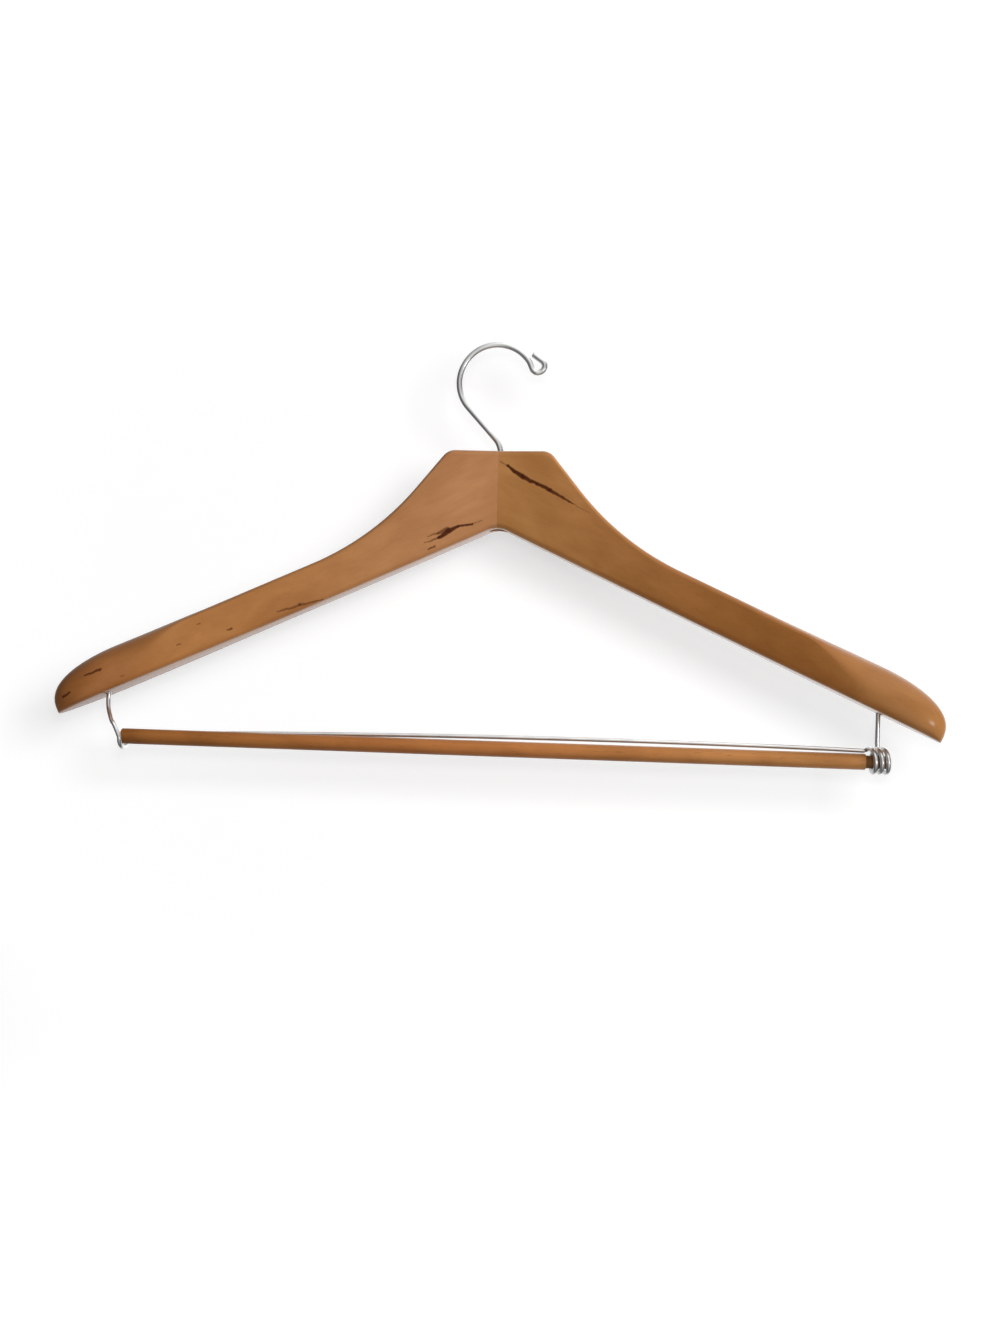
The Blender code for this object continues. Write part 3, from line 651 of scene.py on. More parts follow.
def coil_path():
    """The wire round the bar's thin end and up into the right arm."""
    path = []
    for a in quarter_turn(LEAD_STEPS)[1:-1]:
        rise = RUN_RIGHT_RISE + (COIL_LIFT + COIL_R - RUN_RIGHT_RISE) * math.sin(a)
        path.append((COIL_START - COIL_LEAD + COIL_LEAD * math.sin(a), COIL_LEAD * math.cos(a), rise))
    for k in range(round(COIL_TURNS * TURN_STEPS) + 1):
        a = 2.0 * math.pi * k / TURN_STEPS
        x = COIL_START + COIL_PITCH * k / TURN_STEPS + COIL_SKEW * COIL_R * math.sin(a)
        path.append((x, -COIL_R * math.sin(a), COIL_LIFT + COIL_R * math.cos(a)))
    for k, a in enumerate(quarter_turn(TAIL_STEPS)[1:], start=1):
        x = COIL_END + 0.45 * (RIGHT_LEG_X - COIL_END) * ease((k / TAIL_STEPS - 0.5) / 0.5)
        path.append((x, TAIL_R * math.sin(a), COIL_LIFT - COIL_R * math.cos(a)))
    top = leg_tops[1] - BAR_Z
    path.append((COIL_END + 0.85 * (RIGHT_LEG_X - COIL_END), TAIL_R, COIL_LIFT + 0.8 * COIL_R))
    return path + [(RIGHT_LEG_X, TAIL_R, z) for z in (1.6 * COIL_R, 0.5 * top, top)]


# %% Bend the spring wire
RUN_STEPS = 24
run_line = [run_point(1.0 - k / RUN_STEPS) for k in range(RUN_STEPS + 1)]
lock_line = seat_path() + run_line + coil_path()
lock_line = smooth_route([(x, y + BAR_Y, z + BAR_Z) for x, y, z in lock_line], step=0.8 * MM)
sprung_wire = sweep_wire("sprung_lock_wire", lock_line, [LOCK_R] * len(lock_line), sides=20)
print("spring wire's length, mm:", round(sum((b - a).length for a, b in zip(lock_line, lock_line[1:])) / MM))

# %% [markdown]
# ## The trouser bar
#
# The bar is a dowel, turned thinner where the coil grips it. Like on a lathe, a profile is spun round the
# bar's axis: a list of distances along the bar, each with its radius. Small bevels at both ends catch the
# light.

# %% Profile of the bar
BAR_EDGE = 0.5 * MM
BAR_TAPER = 1.0 * MM
BAR_END_INSET = 0.6 * MM
BAR_SHOULDER_GAP = 0.7 * MM
BAR_RINGS, TAPER_STEPS, BEVEL_STEPS = 24, 6, 6
END_RING = 0.35
right_end = COIL_END + LOCK_R - BAR_END_INSET
shoulder_x = COIL_START - LOCK_R - BAR_SHOULDER_GAP
straight = shoulder_x + BAR_LEFT - BAR_TAPER
bevel = [(BAR_EDGE * (1.0 - math.cos(a)), BAR_EDGE * (1.0 - math.sin(a))) for a in quarter_turn(BEVEL_STEPS)]
bar_profile = [(-BAR_LEFT, END_RING * BAR_R)]
bar_profile += [(-BAR_LEFT + along, BAR_R - inward) for along, inward in bevel]
bar_profile += [(-BAR_LEFT + straight * k / BAR_RINGS, BAR_R) for k in range(1, BAR_RINGS + 1)]
for k in range(1, TAPER_STEPS + 1):
    t = k / TAPER_STEPS
    bar_profile.append((shoulder_x - BAR_TAPER * (1.0 - t), BAR_R - (BAR_R - BAR_END_R) * ease(t)))
bar_profile += [(right_end - along, BAR_END_R - inward) for inward, along in bevel]
bar_profile += [(right_end, END_RING * BAR_END_R)]
print("rings on the bar:", len(bar_profile))

# %% Turn the bar
BAR_SIDES = 64
turned_points = []
for x, radius in bar_profile:
    turned_points += [(x, BAR_Y + y, BAR_Z + z) for y, z in circle(radius, BAR_SIDES)]
turned_bar = make_mesh("turned_bar", turned_points, tube_faces(len(bar_profile), BAR_SIDES))
print("bar's length, mm:", round((right_end + BAR_LEFT) / MM, 1))

# %% [markdown]
# ## Building materials
#
# Wood grain is used on three pieces and a dark mineral streak many times, so each is a node group: it is
# built once, with named inputs, and then placed in a material with its own numbers. The groups give out
# colours, masks and heights only. The Principled shader stays in the material.

# %% Helpers for nodes
def feed(tree, made, inputs):
    """Links a node's inputs, by name or number, to sockets, or sets their values. A colour's alpha is 1."""
    for key, source in inputs.items():
        socket = made.inputs[key]
        if isinstance(source, bpy.types.NodeSocket):
            tree.links.new(source, socket)
        else:
            socket.default_value = (*source, 1.0) if socket.type == "RGBA" else source


def node(tree, kind, inputs=None, **settings):
    """Adds a node, sets its properties, then feeds its inputs."""
    made = tree.nodes.new(kind)
    for key, value in settings.items():
        setattr(made, key, value)
    feed(tree, made, inputs or {})
    return made


def math_node(tree, operation, *sources):
    """The result of a Math node."""
    return node(tree, "ShaderNodeMath", dict(enumerate(sources)), operation=operation).outputs[0]


def vector_node(tree, operation, *sources):
    """The result of a Vector Math node, a number where the operation gives one."""
    made = node(tree, "ShaderNodeVectorMath", dict(enumerate(sources)), operation=operation)
    return made.outputs["Value" if operation in ("DOT_PRODUCT", "LENGTH") else "Vector"]


def map_range(tree, source, start, end, low=0.0, high=1.0):
    """A smooth step from one range to another."""
    inputs = {0: source, 1: start, 2: end, 3: low, 4: high}
    return node(tree, "ShaderNodeMapRange", inputs, interpolation_type="SMOOTHSTEP").outputs[0]


def blend_colours(tree, share, first, second, mode="MIX"):
    """Mixes two colours by a share."""
    inputs = {0: share, 6: first, 7: second}
    return node(tree, "ShaderNodeMix", inputs, data_type="RGBA", blend_type=mode).outputs[2]


def new_group(name, inputs, outputs):
    """An empty node group with named sockets: its tree, its input node and its output node."""
    tree = bpy.data.node_groups.new(name, "ShaderNodeTree")
    for side, sockets in (("INPUT", inputs), ("OUTPUT", outputs)):
        for label, kind in sockets.items():
            tree.interface.new_socket(label, in_out=side, socket_type=f"NodeSocket{kind}")
    return tree, tree.nodes.new("NodeGroupInput"), tree.nodes.new("NodeGroupOutput")


def new_material(name):
    """A material that is drawn with nodes, and its tree."""
    made = bpy.data.materials.new(name)
    made.use_nodes = True
    return made, made.node_tree


def stretched_noise(tree, place, stretch, detail, roughness, distortion=0.0):
    """Noise whose features per metre are given for each axis, so that it can be drawn out along the grain."""
    inputs = {"Vector": vector_node(tree, "MULTIPLY", place, stretch), "Scale": 1.0}
    inputs.update({"Detail": detail, "Roughness": roughness, "Distortion": distortion})
    return node(tree, "ShaderNodeTexNoise", inputs).outputs["Fac"]


# %% [markdown]
# ## Wood grain
#
# The grain runs along the arm. It is made of five layers, from coarse to fine: slow clouds of tone, patches,
# bands a few millimetres wide, fine fibres, and short dark pores. Each is noise, squeezed across the grain
# and drawn out along it. The group expects coordinates whose X axis runs along the grain.

# %% Group: lacquered wood grain
# Each layer: its name, features per metre along and across the grain, detail, roughness, distortion, the used
# range of the noise, and its share of the tone.
GRAIN_LAYERS = (
    ("bands", 7.0, 170.0, 3.0, 0.5, 0.6, (0.25, 0.75), 0.12),
    ("clouds", 9.0, 26.0, 2.0, 0.5, 0.0, (0.3, 0.7), 0.3),
    ("patches", 32.0, 75.0, 3.0, 0.5, 0.4, (0.3, 0.7), 0.46),
    ("fibres", 60.0, 1100.0, 3.0, 0.6, 0.0, (0.3, 0.7), 0.12),
)
PORE_STRETCH = (170.0, 2400.0, 2400.0)
PORE_RANGE = (0.64, 0.74)
FIBRE_RELIEF = 0.5
SMOOTHEST_WOOD = 0.42
FIBRE_ROUGHNESS = 0.16


def build_grain_group():
    """The colour, roughness and height of wood, from coordinates that run along its grain."""
    inputs = {"Along Grain": "Vector", "Pale": "Color", "Deep": "Color", "Pore Colour": "Color"}
    inputs["Pore Strength"] = "Float"
    outputs = {"Colour": "Color", "Roughness": "Float", "Height": "Float"}
    tree, given, result = new_group("lacquered_wood_grain", inputs, outputs)
    place = given.outputs["Along Grain"]
    layers = {}
    tone = 0.0
    for name, along, across, detail, roughness, distortion, used, share in GRAIN_LAYERS:
        layers[name] = stretched_noise(tree, place, (along, across, across), detail, roughness, distortion)
        part = math_node(tree, "MULTIPLY", map_range(tree, layers[name], *used), share)
        tone = math_node(tree, "ADD", tone, part)
    fibres = layers["fibres"]
    pores = map_range(tree, stretched_noise(tree, place, PORE_STRETCH, 2.0, 0.5), *PORE_RANGE)
    wood = blend_colours(tree, tone, given.outputs["Deep"], given.outputs["Pale"])
    share = math_node(tree, "MULTIPLY", pores, given.outputs["Pore Strength"])
    feed(tree, result, {
        "Colour": blend_colours(tree, share, wood, given.outputs["Pore Colour"]),
        "Roughness": math_node(tree, "MULTIPLY_ADD", fibres, FIBRE_ROUGHNESS, SMOOTHEST_WOOD),
        "Height": math_node(tree, "SUBTRACT", math_node(tree, "MULTIPLY", fibres, FIBRE_RELIEF), pores),
    })
    return tree


grain_group = build_grain_group()
print("sockets of the grain group:", [item.name for item in grain_group.interface.items_tree])

# %% [markdown]
# ## Dark mineral streaks
#
# Dark strokes lie in the wood, where the tree took up minerals. A streak is a distance field: each point's
# distance to a line between two ends, bent by a little noise, and turned into a mask that is darkest on the
# line. The mask is kept to the front, which is what lies before the arm's middle as that sweeps forward from
# the neck to the tip.

# %% Group: mineral streak
STREAK_BENDS = 220.0
STREAK_WANDER = 2.2 * MM
STREAK_RIM, STREAK_HEART = 1.15, 0.45
FRONT_STARTS, FRONT_FULL = -2.0 * MM, -6.0 * MM
SWEEP_CURVE = (TIP_FORWARD - HALF_SPAN * math.tan(MITRE_ANGLE)) / HALF_SPAN**2


def build_streak_group():
    """How strongly a streak between two ends stains each place, from 0 to 1."""
    inputs = dict.fromkeys(("Place", "Start", "End"), "Vector")
    inputs.update(dict.fromkeys(("Start Half Width", "End Half Width"), "Float"))
    tree, given, result = new_group("mineral_streak", inputs, {"Mask": "Float"})
    place, start, end = given.outputs["Place"], given.outputs["Start"], given.outputs["End"]
    inputs = {"Vector": place, "Scale": STREAK_BENDS, "Detail": 3.0, "Roughness": 0.6}
    wander = node(tree, "ShaderNodeTexNoise", inputs).outputs["Color"]
    wander = vector_node(tree, "SUBTRACT", wander, (0.5, 0.5, 0.5))
    wander = vector_node(tree, "MULTIPLY", wander, (STREAK_WANDER, 0.0, STREAK_WANDER))
    flat = vector_node(tree, "MULTIPLY", vector_node(tree, "ADD", place, wander), (1.0, 0.0, 1.0))
    from_start = vector_node(tree, "SUBTRACT", flat, start)
    stroke = vector_node(tree, "SUBTRACT", end, start)
    reach = vector_node(tree, "DOT_PRODUCT", from_start, stroke)
    share = math_node(tree, "DIVIDE", reach, vector_node(tree, "DOT_PRODUCT", stroke, stroke))
    share = node(tree, "ShaderNodeClamp", {0: share}).outputs[0]
    nearest = node(tree, "ShaderNodeVectorMath", {0: stroke, "Scale": share}, operation="SCALE").outputs[0]
    gap = vector_node(tree, "LENGTH", vector_node(tree, "SUBTRACT", from_start, nearest))
    inputs = {0: share, 2: given.outputs["Start Half Width"], 3: given.outputs["End Half Width"]}
    half_width = node(tree, "ShaderNodeMix", inputs, data_type="FLOAT").outputs[0]
    stain = map_range(tree, math_node(tree, "DIVIDE", gap, half_width), STREAK_RIM, STREAK_HEART)
    axes = node(tree, "ShaderNodeSeparateXYZ", {0: place}).outputs
    sideways = math_node(tree, "ABSOLUTE", axes["X"])
    swept = math_node(tree, "MULTIPLY", math_node(tree, "MULTIPLY", sideways, sideways), SWEEP_CURVE)
    swept = math_node(tree, "MULTIPLY_ADD", sideways, math.tan(MITRE_ANGLE), swept)
    front = map_range(tree, math_node(tree, "ADD", axes["Y"], swept), FRONT_STARTS, FRONT_FULL)
    feed(tree, result, {"Mask": math_node(tree, "MULTIPLY", stain, front)})
    return tree


streak_group = build_streak_group()
print("sockets of the streak group:", [item.name for item in streak_group.interface.items_tree])

# %% [markdown]
# ## Wood of the arms
#
# Both arms are stained honey brown under a satin lacquer. The right one is a shade darker, and each is palest
# at the neck, so a tint sets in along the arm. A second tint at the tip is painted light: painted shade on the
# left tip and a pale painted sheen on the right tip. The lacquer is the Principled shader's coat over a rougher
# wood, and it is thinner on the streaks, whose open pores drink it up. The object coordinates are turned by the
# arm's slope, so the grain follows the arm and not the horizon.

# %% Make wood
GRAIN_RELIEF = 0.2 * MM


def wood_material(name, slope, shift, colours, pore_strength, relief):
    """A material, its tree and shader, its coordinates, and the colour of a grain turned by the slope."""
    made, tree = new_material(name)
    shader = tree.nodes["Principled BSDF"]
    place = node(tree, "ShaderNodeTexCoord").outputs["Object"]
    inputs = {"Vector": place, "Rotation": (0.0, slope, 0.0), "Location": shift}
    along_grain = node(tree, "ShaderNodeMapping", inputs).outputs["Vector"]
    inputs = {"Along Grain": along_grain, "Pore Strength": pore_strength}
    inputs.update(zip(("Pale", "Deep", "Pore Colour"), colours))
    grain = node(tree, "ShaderNodeGroup", inputs, node_tree=grain_group)
    inputs = {"Height": grain.outputs["Height"], "Strength": relief, "Distance": GRAIN_RELIEF}
    bump = node(tree, "ShaderNodeBump", inputs).outputs["Normal"]
    feed(tree, shader, {"Roughness": grain.outputs["Roughness"], "Normal": bump})
    return made, tree, shader, place, grain.outputs["Colour"]


def tinted(tree, colour, place, side, tints):
    """A colour multiplied by tints, each of which sets in between two distances towards a side."""
    x = node(tree, "ShaderNodeSeparateXYZ", {0: place}).outputs["X"]
    outward = math_node(tree, "MULTIPLY", x, float(side))
    for start, end, tint in tints:
        colour = blend_colours(tree, map_range(tree, outward, start, end), colour, tint, "MULTIPLY")
    return colour


# %% Make an arm's wood
STREAK_COLOUR = (0.045, 0.008, 0.0008)
LACQUER = 0.75
LACQUER_LOST_ON_STREAKS = 0.6
GRAIN_SHIFT = (0.37, 0.11, 0.05)
MIDDLE_TINT_RUN = (0.01, 0.12)
# The tip's tint is painted light: painted shade on the left tip, which faces away from the key light, and a
# pale painted sheen on the right tip, which faces it.
TIP_SHADING_RUN = (0.155, 0.21)


def arm_material(name, side, colours, middle_tint, tip_painted_shading, streaks):
    """Lacquered wood whose grain follows the arm on one side, with its dark streaks."""
    shift = (side * GRAIN_SHIFT[0], GRAIN_SHIFT[1], side * GRAIN_SHIFT[2])
    made, tree, shader, place, colour = wood_material(
        name, -side * ARM_SLOPE, shift, colours, pore_strength=0.25, relief=0.12
    )
    tints = ((*MIDDLE_TINT_RUN, middle_tint), (*TIP_SHADING_RUN, tip_painted_shading))
    colour = tinted(tree, colour, place, side, tints)
    streaked = 0.0
    for *sizes, strength in streaks:
        x0, z0, x1, z1, width0, width1 = (size * MM for size in sizes)
        inputs = {"Place": place, "Start": (x0, 0.0, z0), "End": (x1, 0.0, z1)}
        inputs.update({"Start Half Width": width0, "End Half Width": width1})
        streak = node(tree, "ShaderNodeGroup", inputs, node_tree=streak_group)
        share = math_node(tree, "MULTIPLY", streak.outputs["Mask"], strength)
        colour = blend_colours(tree, share, colour, STREAK_COLOUR)
        streaked = math_node(tree, "MAXIMUM", streaked, share)
    lost = math_node(tree, "MULTIPLY", streaked, LACQUER_LOST_ON_STREAKS)
    lacquer = math_node(tree, "SUBTRACT", LACQUER, lost)
    feed(tree, shader, {"Base Color": colour, "IOR": 1.45, "Specular IOR Level": 0.12})
    feed(tree, shader, {"Coat Weight": lacquer, "Coat IOR": 1.33, "Coat Roughness": 0.16})
    return made


# %% Left and right wood
# Each streak: x and z of its start and of its end, the half widths there, all in mm, and its strength.
left_streaks = [
    (-7.6, -92.2, -12.8, -94.1, 0.3, 0.5, 0.4),
    (-12.8, -94.1, -19.9, -95.3, 0.7, 0.85, 0.92),
    (-19.9, -95.3, -25.0, -97.8, 0.85, 1.5, 0.95),
    (-25.0, -97.8, -29.6, -101.6, 1.6, 1.1, 0.97),
    (-25.6, -96.8, -30.2, -99.0, 1.3, 0.9, 0.7),
    (-30.2, -99.0, -35.3, -101.0, 0.8, 0.3, 0.55),
    (-29.6, -101.6, -37.2, -104.4, 0.8, 0.25, 0.6),
    (-31.8, -105.8, -35.0, -107.8, 0.7, 0.4, 0.7),
    (-111.0, -142.4, -99.7, -138.6, 0.4, 0.8, 0.6),
    (-99.7, -138.6, -88.0, -134.8, 0.8, 0.3, 0.6),
    (-133.4, -151.6, -135.6, -152.6, 0.7, 0.5, 0.7),
    (-149.2, -149.7, -151.0, -150.3, 0.5, 0.4, 0.5),
    (-158.2, -160.4, -160.0, -161.0, 0.5, 0.4, 0.5),
    (-185.0, -177.3, -186.4, -178.0, 0.5, 0.4, 0.4),
    (-196.5, -174.6, -204.5, -178.0, 0.9, 0.4, 0.85),
    (-211.7, -186.6, -215.4, -189.2, 0.6, 0.9, 0.85),
]
right_streaks = [
    (0.8, -60.9, 5.0, -63.6, 0.6, 0.6, 0.4),
    (5.0, -63.6, 13.0, -69.0, 0.8, 1.5, 0.97),
    (13.0, -69.0, 20.0, -72.4, 1.5, 1.0, 0.95),
    (20.0, -72.4, 27.0, -75.7, 1.0, 1.4, 0.95),
    (27.0, -75.7, 39.2, -82.9, 1.3, 0.4, 0.9),
    (39.2, -82.9, 48.1, -87.4, 0.3, 0.15, 0.5),
]
left_finish = arm_material(
    "left_lacquered_maple_stain",
    side=-1,
    colours=((0.405, 0.191, 0.079), (0.288, 0.119, 0.042), (0.15, 0.050, 0.013)),
    middle_tint=(0.83, 0.76, 0.56),
    # Painted shade on the left tip.
    tip_painted_shading=(0.80, 0.72, 0.66),
    streaks=left_streaks,
)
right_finish = arm_material(
    "right_lacquered_maple_stain",
    side=1,
    colours=((0.398, 0.184, 0.059), (0.272, 0.109, 0.027), (0.11, 0.033, 0.007)),
    middle_tint=(0.71, 0.60, 0.45),
    # Painted sheen on the right tip, paler and greyer.
    tip_painted_shading=(1.22, 1.40, 1.85),
    streaks=right_streaks,
)
print("streaks, left and right:", len(left_streaks), len(right_streaks))

# %% [markdown]
# ## Wood of the bar
#
# The bar is a plain dowel in a thinner lacquer, so it is duller than the arms and its pores show more. It has
# the same grain group, with the grain along the bar. It is darker to the left and paler to the right, and a
# painted shade darkens it where it is turned thinner, inside the coil.

# %% Make the bar's wood
BAR_COLOURS = ((0.37, 0.137, 0.036), (0.235, 0.077, 0.016), (0.09, 0.027, 0.007))
BAR_TONES_AND_SHADE = (
    (0.0, -0.2, (0.68, 0.68, 0.55)),
    (0.0, 0.16, (1.2, 1.45, 1.75)),
    # Painted shade: the shoulder and the thin end inside the coil are darkened.
    (shoulder_x - 0.9 * MM, shoulder_x - 0.1 * MM, (0.3, 0.3, 0.3)),
)
bar_finish, tree, shader, place, colour = wood_material(
    "stained_dowel", 0.0, (0.0, 0.0, 0.0), BAR_COLOURS, pore_strength=0.6, relief=0.2
)
feed(tree, shader, {"Base Color": tinted(tree, colour, place, 1, BAR_TONES_AND_SHADE), "Specular IOR Level": 0.25})
feed(tree, shader, {"Coat Weight": 0.25, "Coat Roughness": 0.25})
print("nodes in the bar's wood:", len(tree.nodes))

# %% [markdown]
# ## Plated wire
#
# The wires are steel with a bright plating. Plating is smooth but not a perfect mirror: it has a faint haze
# and small drawing marks. Noise in the roughness and a trace of bump break up the reflections.

# %% Make the plating
MARKS_PER_METRE = 700.0
HAZE_PER_METRE = 90.0
HAZE_RANGE = (0.3, 0.7)
HAZY_SHARE = 0.86
MARK_RELIEF = 0.05 * MM


def plating(name, colour, roughness, haze, relief):
    """Bright plated steel with a little haze and fine marks."""
    made, tree = new_material(name)
    place = node(tree, "ShaderNodeTexCoord").outputs["Object"]
    marks = stretched_noise(tree, place, (MARKS_PER_METRE,) * 3, 3.0, 0.6)
    cloud = stretched_noise(tree, place, (HAZE_PER_METRE,) * 3, 2.0, 0.5)
    hazy = tuple(HAZY_SHARE * c for c in colour)
    inputs = {"Height": marks, "Strength": relief, "Distance": MARK_RELIEF}
    feed(tree, tree.nodes["Principled BSDF"], {
        "Base Color": blend_colours(tree, map_range(tree, cloud, *HAZE_RANGE), colour, hazy),
        "Roughness": math_node(tree, "MULTIPLY_ADD", cloud, haze, roughness),
        "Metallic": 1.0,
        "Normal": node(tree, "ShaderNodeBump", inputs).outputs["Normal"],
    })
    return made


wire_finish = plating("bright_plating", (0.84, 0.84, 0.83), roughness=0.26, haze=0.08, relief=0.003)
washer_finish = plating("washer_plating", (0.72, 0.72, 0.70), roughness=0.25, haze=0.15, relief=0.15)
print("platings:", wire_finish.name, washer_finish.name)

# %% [markdown]
# ## Each piece on its body
#
# The hook and its washer turn in the neck, the bar swings in the coil, and the arms with the spring wire are
# the hanger itself. Each new piece rides on its body and stands for its solid, which is hidden. The washer's
# solid has the right shape already, so it only gets the better finish.

# %% Finish the pieces
for piece, solid, body, slot, finish in (
    (left_wood, "left_arm", "hanger_body", "left_lacquered_wood", left_finish),
    (right_wood, "right_arm", "hanger_body", "right_lacquered_wood", right_finish),
    (sprung_wire, "lock_wire", "hanger_body", "plated_wire", wire_finish),
    (bent_hook, "hook", "hook_body", "plated_wire", wire_finish),
    (turned_bar, "trouser_bar", "bar_body", "bar_wood", bar_finish),
):
    piece.data.materials.clear()
    piece.data.materials.append(finish)
    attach(piece, body)
    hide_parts(solid)
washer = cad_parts["hook_washer"]
for material_slot in washer.material_slots:
    material_slot.material = washer_finish

# %% [markdown]
# ## Backdrop
#
# The hanger hangs in front of a white wall that takes its soft shadow. The wall stands far enough back for
# the hanger to turn on its hook, and sweeps into a floor below. Only the camera sees it, and only from the
# front, so it neither lights the hanger nor hides it from behind. It fades out towards its edges into the
# white world.

# %% Wall and floor
WALL_Y = 0.236
WALL_HALF_WIDTH = 0.9
WALL_TOP = 0.55
FLOOR_Z = -0.75
SWEEP_RADIUS = 0.12
FLOOR_FRONT = -0.9

wall_line = [(WALL_Y, WALL_TOP), (WALL_Y, FLOOR_Z + SWEEP_RADIUS)]
wall_line += bow((WALL_Y - SWEEP_RADIUS, FLOOR_Z + SWEEP_RADIUS), SWEEP_RADIUS, 0.0, -math.pi / 2, 16)
wall_line.append((FLOOR_FRONT, FLOOR_Z))
wall_points = [(x, y, z) for y, z in wall_line for x in (-WALL_HALF_WIDTH, WALL_HALF_WIDTH)]
wall_faces = [(2 * i, 2 * i + 2, 2 * i + 3, 2 * i + 1) for i in range(len(wall_line) - 1)]
backdrop = make_mesh("backdrop", wall_points, wall_faces)
print("wall's normal:", [round(v, 2) for v in backdrop.data.polygons[0].normal])

# %% Backdrop's finish
PAPER_WHITE = (0.9, 0.9, 0.9)
LAMP_WHITE = (1.0, 1.0, 1.0)
WALL_GLOW = 0.24
EDGE_GLOW = 0.65
WALL_MIDDLE = (0.0, WALL_Y, -0.15)
FADE_END, FADE_START = 0.85, 0.5

paper, tree = new_material("white_backdrop")
tree.nodes.clear()
place = node(tree, "ShaderNodeTexCoord").outputs["Object"]
away = vector_node(tree, "LENGTH", vector_node(tree, "SUBTRACT", place, WALL_MIDDLE))
level = math_node(tree, "MULTIPLY_ADD", math_node(tree, "MULTIPLY", away, away), EDGE_GLOW, WALL_GLOW)
glow = node(tree, "ShaderNodeEmission", {"Color": LAMP_WHITE, "Strength": level}).outputs[0]
matt = node(tree, "ShaderNodeBsdfDiffuse", {"Color": PAPER_WHITE}).outputs[0]
white = node(tree, "ShaderNodeAddShader", {0: glow, 1: matt}).outputs[0]
facing = math_node(tree, "SUBTRACT", 1.0, node(tree, "ShaderNodeNewGeometry").outputs["Backfacing"])
seen = math_node(tree, "MULTIPLY", node(tree, "ShaderNodeLightPath").outputs["Is Camera Ray"], facing)
seen = math_node(tree, "MULTIPLY", seen, map_range(tree, away, FADE_END, FADE_START))
clear = node(tree, "ShaderNodeBsdfTransparent").outputs[0]
choice = node(tree, "ShaderNodeMixShader", {0: seen, 1: clear, 2: white}).outputs[0]
node(tree, "ShaderNodeOutputMaterial", {"Surface": choice})
backdrop.data.materials.append(paper)
print("backdrop's nodes:", len(tree.nodes))

# %% [markdown]
# ## Light
#
# A sun high on the right is the key light, and its shadow leaves the picture on the left. Two small lamps
# beside the camera light the front and give the wall the narrow soft shadow under the arms. The world adds an
# even fill, and more of it from behind and below, where a white wall would throw light back onto the
# undersides.
#
# Mirror reflections see a room of their own: a white wall behind, a bright front and a pale ceiling, with
# darker sides between them, because plated wire looks round only where it reflects something darker. One more
# lamp shows in reflections alone. It makes the small highlight on the right tip and the bright lines on the
# wires.

# %% World
WORLD_FILL = 0.15
WALL_BOUNCE = 2.2
# Each part of a room is a product of steps along the world's axes: the axis, where the step starts and ends,
# and the levels before and after it.
ROOM_BEHIND = (("Y", 0.1, 0.9, 0.12, 1.25), ("X", -0.5, 0.4, 0.5, 1.0))
ROOM_BEFORE = (("Y", -0.15, -0.95, 0.0, 0.8), ("X", -0.36, -0.08, 0.2, 1.0), ("X", 0.35, 0.05, 0.5, 1.0))
ROOM_ABOVE = (("Z", 0.3, 0.8, 0.0, 1.0), ("X", -0.5, 0.3, 0.3, 1.3))
BOUNCE_BEHIND = (("Y", 0.0, 0.6, 0.0, WALL_BOUNCE), ("Z", 0.3, -0.3, 0.15, 1.0))

world = bpy.data.worlds.new("studio")
bpy.context.scene.world = world
world.use_nodes = True
tree = world.node_tree
rays = node(tree, "ShaderNodeLightPath").outputs
direction = node(tree, "ShaderNodeTexCoord").outputs["Generated"]
axes = node(tree, "ShaderNodeSeparateXYZ", {0: direction}).outputs


def room_level(*parts):
    """The sum of a room's parts."""
    total = 0.0
    for steps in parts:
        level = 1.0
        for axis, *step in steps:
            level = math_node(tree, "MULTIPLY", level, map_range(tree, axes[axis], *step))
        total = math_node(tree, "ADD", total, level)
    return total


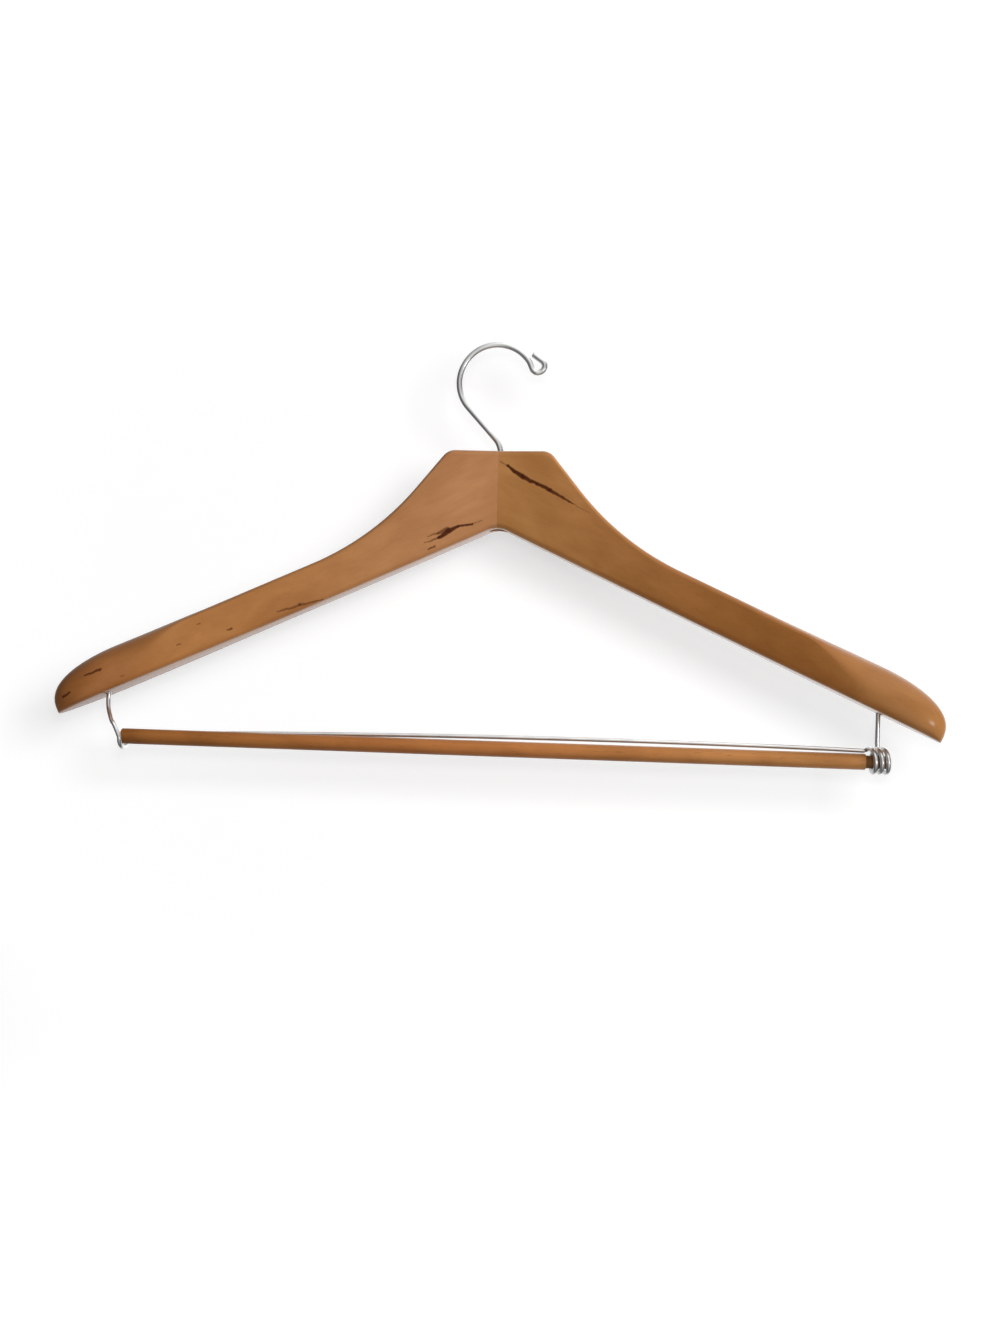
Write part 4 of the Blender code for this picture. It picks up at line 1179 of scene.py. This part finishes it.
lighting_room = math_node(tree, "ADD", WORLD_FILL, room_level(BOUNCE_BEHIND))
mirror_room = room_level(ROOM_BEHIND, ROOM_BEFORE, ROOM_ABOVE)
inputs = {0: rays["Is Glossy Ray"], 2: lighting_room, 3: mirror_room}
room = node(tree, "ShaderNodeMix", inputs, data_type="FLOAT").outputs[0]
strength = math_node(tree, "MAXIMUM", room, rays["Is Camera Ray"])
feed(tree, tree.nodes["Background"], {"Color": LAMP_WHITE, "Strength": strength})
print("world's nodes:", len(tree.nodes))


# %% Lamps beside the camera
def softbox(name, place, target, size, watts, mirrored=False):
    """A square area lamp that faces its target. It lights surfaces, or only shows in their reflections."""
    lamp = bpy.data.lights.new(name, "AREA")
    lamp.size = size
    lamp.energy = watts
    made = add_object(name, lamp)
    made.location = place
    made.rotation_euler = (target - place).to_track_quat("-Z", "Y").to_euler()
    made.visible_glossy = mirrored
    made.visible_diffuse = not mirrored


HANGER_MIDDLE = Vector((0.0, -0.02, -0.14))
RIGHT_TIP = Vector((0.2, -0.04, -0.17))
BESIDE_CAMERA = EYE + Vector((0.072, 0.0, 0.052))
OVER_CAMERA = EYE + Vector((0.004, 0.0, 0.018))
FAR_RIGHT = Vector((0.92, -1.0, -0.3))
softbox("camera_side_lamp", BESIDE_CAMERA, HANGER_MIDDLE, size=0.08, watts=2.6)
softbox("glint_lamp", FAR_RIGHT, RIGHT_TIP, size=0.24, watts=2.2, mirrored=True)
softbox("camera_top_lamp", OVER_CAMERA, HANGER_MIDDLE, size=0.02, watts=0.8)

# %% Key light from high on the right
KEY_TOWARDS = Vector((1.0, -0.34, 0.5))
KEY_STRENGTH = 3.6
KEY_WIDTH = math.radians(16.0)
sun = bpy.data.lights.new("high_right_key", "SUN")
sun.energy = KEY_STRENGTH
sun.angle = KEY_WIDTH
key = add_object("high_right_key", sun)
key.rotation_euler = (-KEY_TOWARDS).to_track_quat("-Z", "Y").to_euler()
key.visible_glossy = False

# %% [markdown]
# ## Finish
#
# Colours are shown as they are written, with the Standard view.

# %% Finish
bpy.context.scene.view_settings.view_transform = "Standard"
bpy.context.view_layer.update()
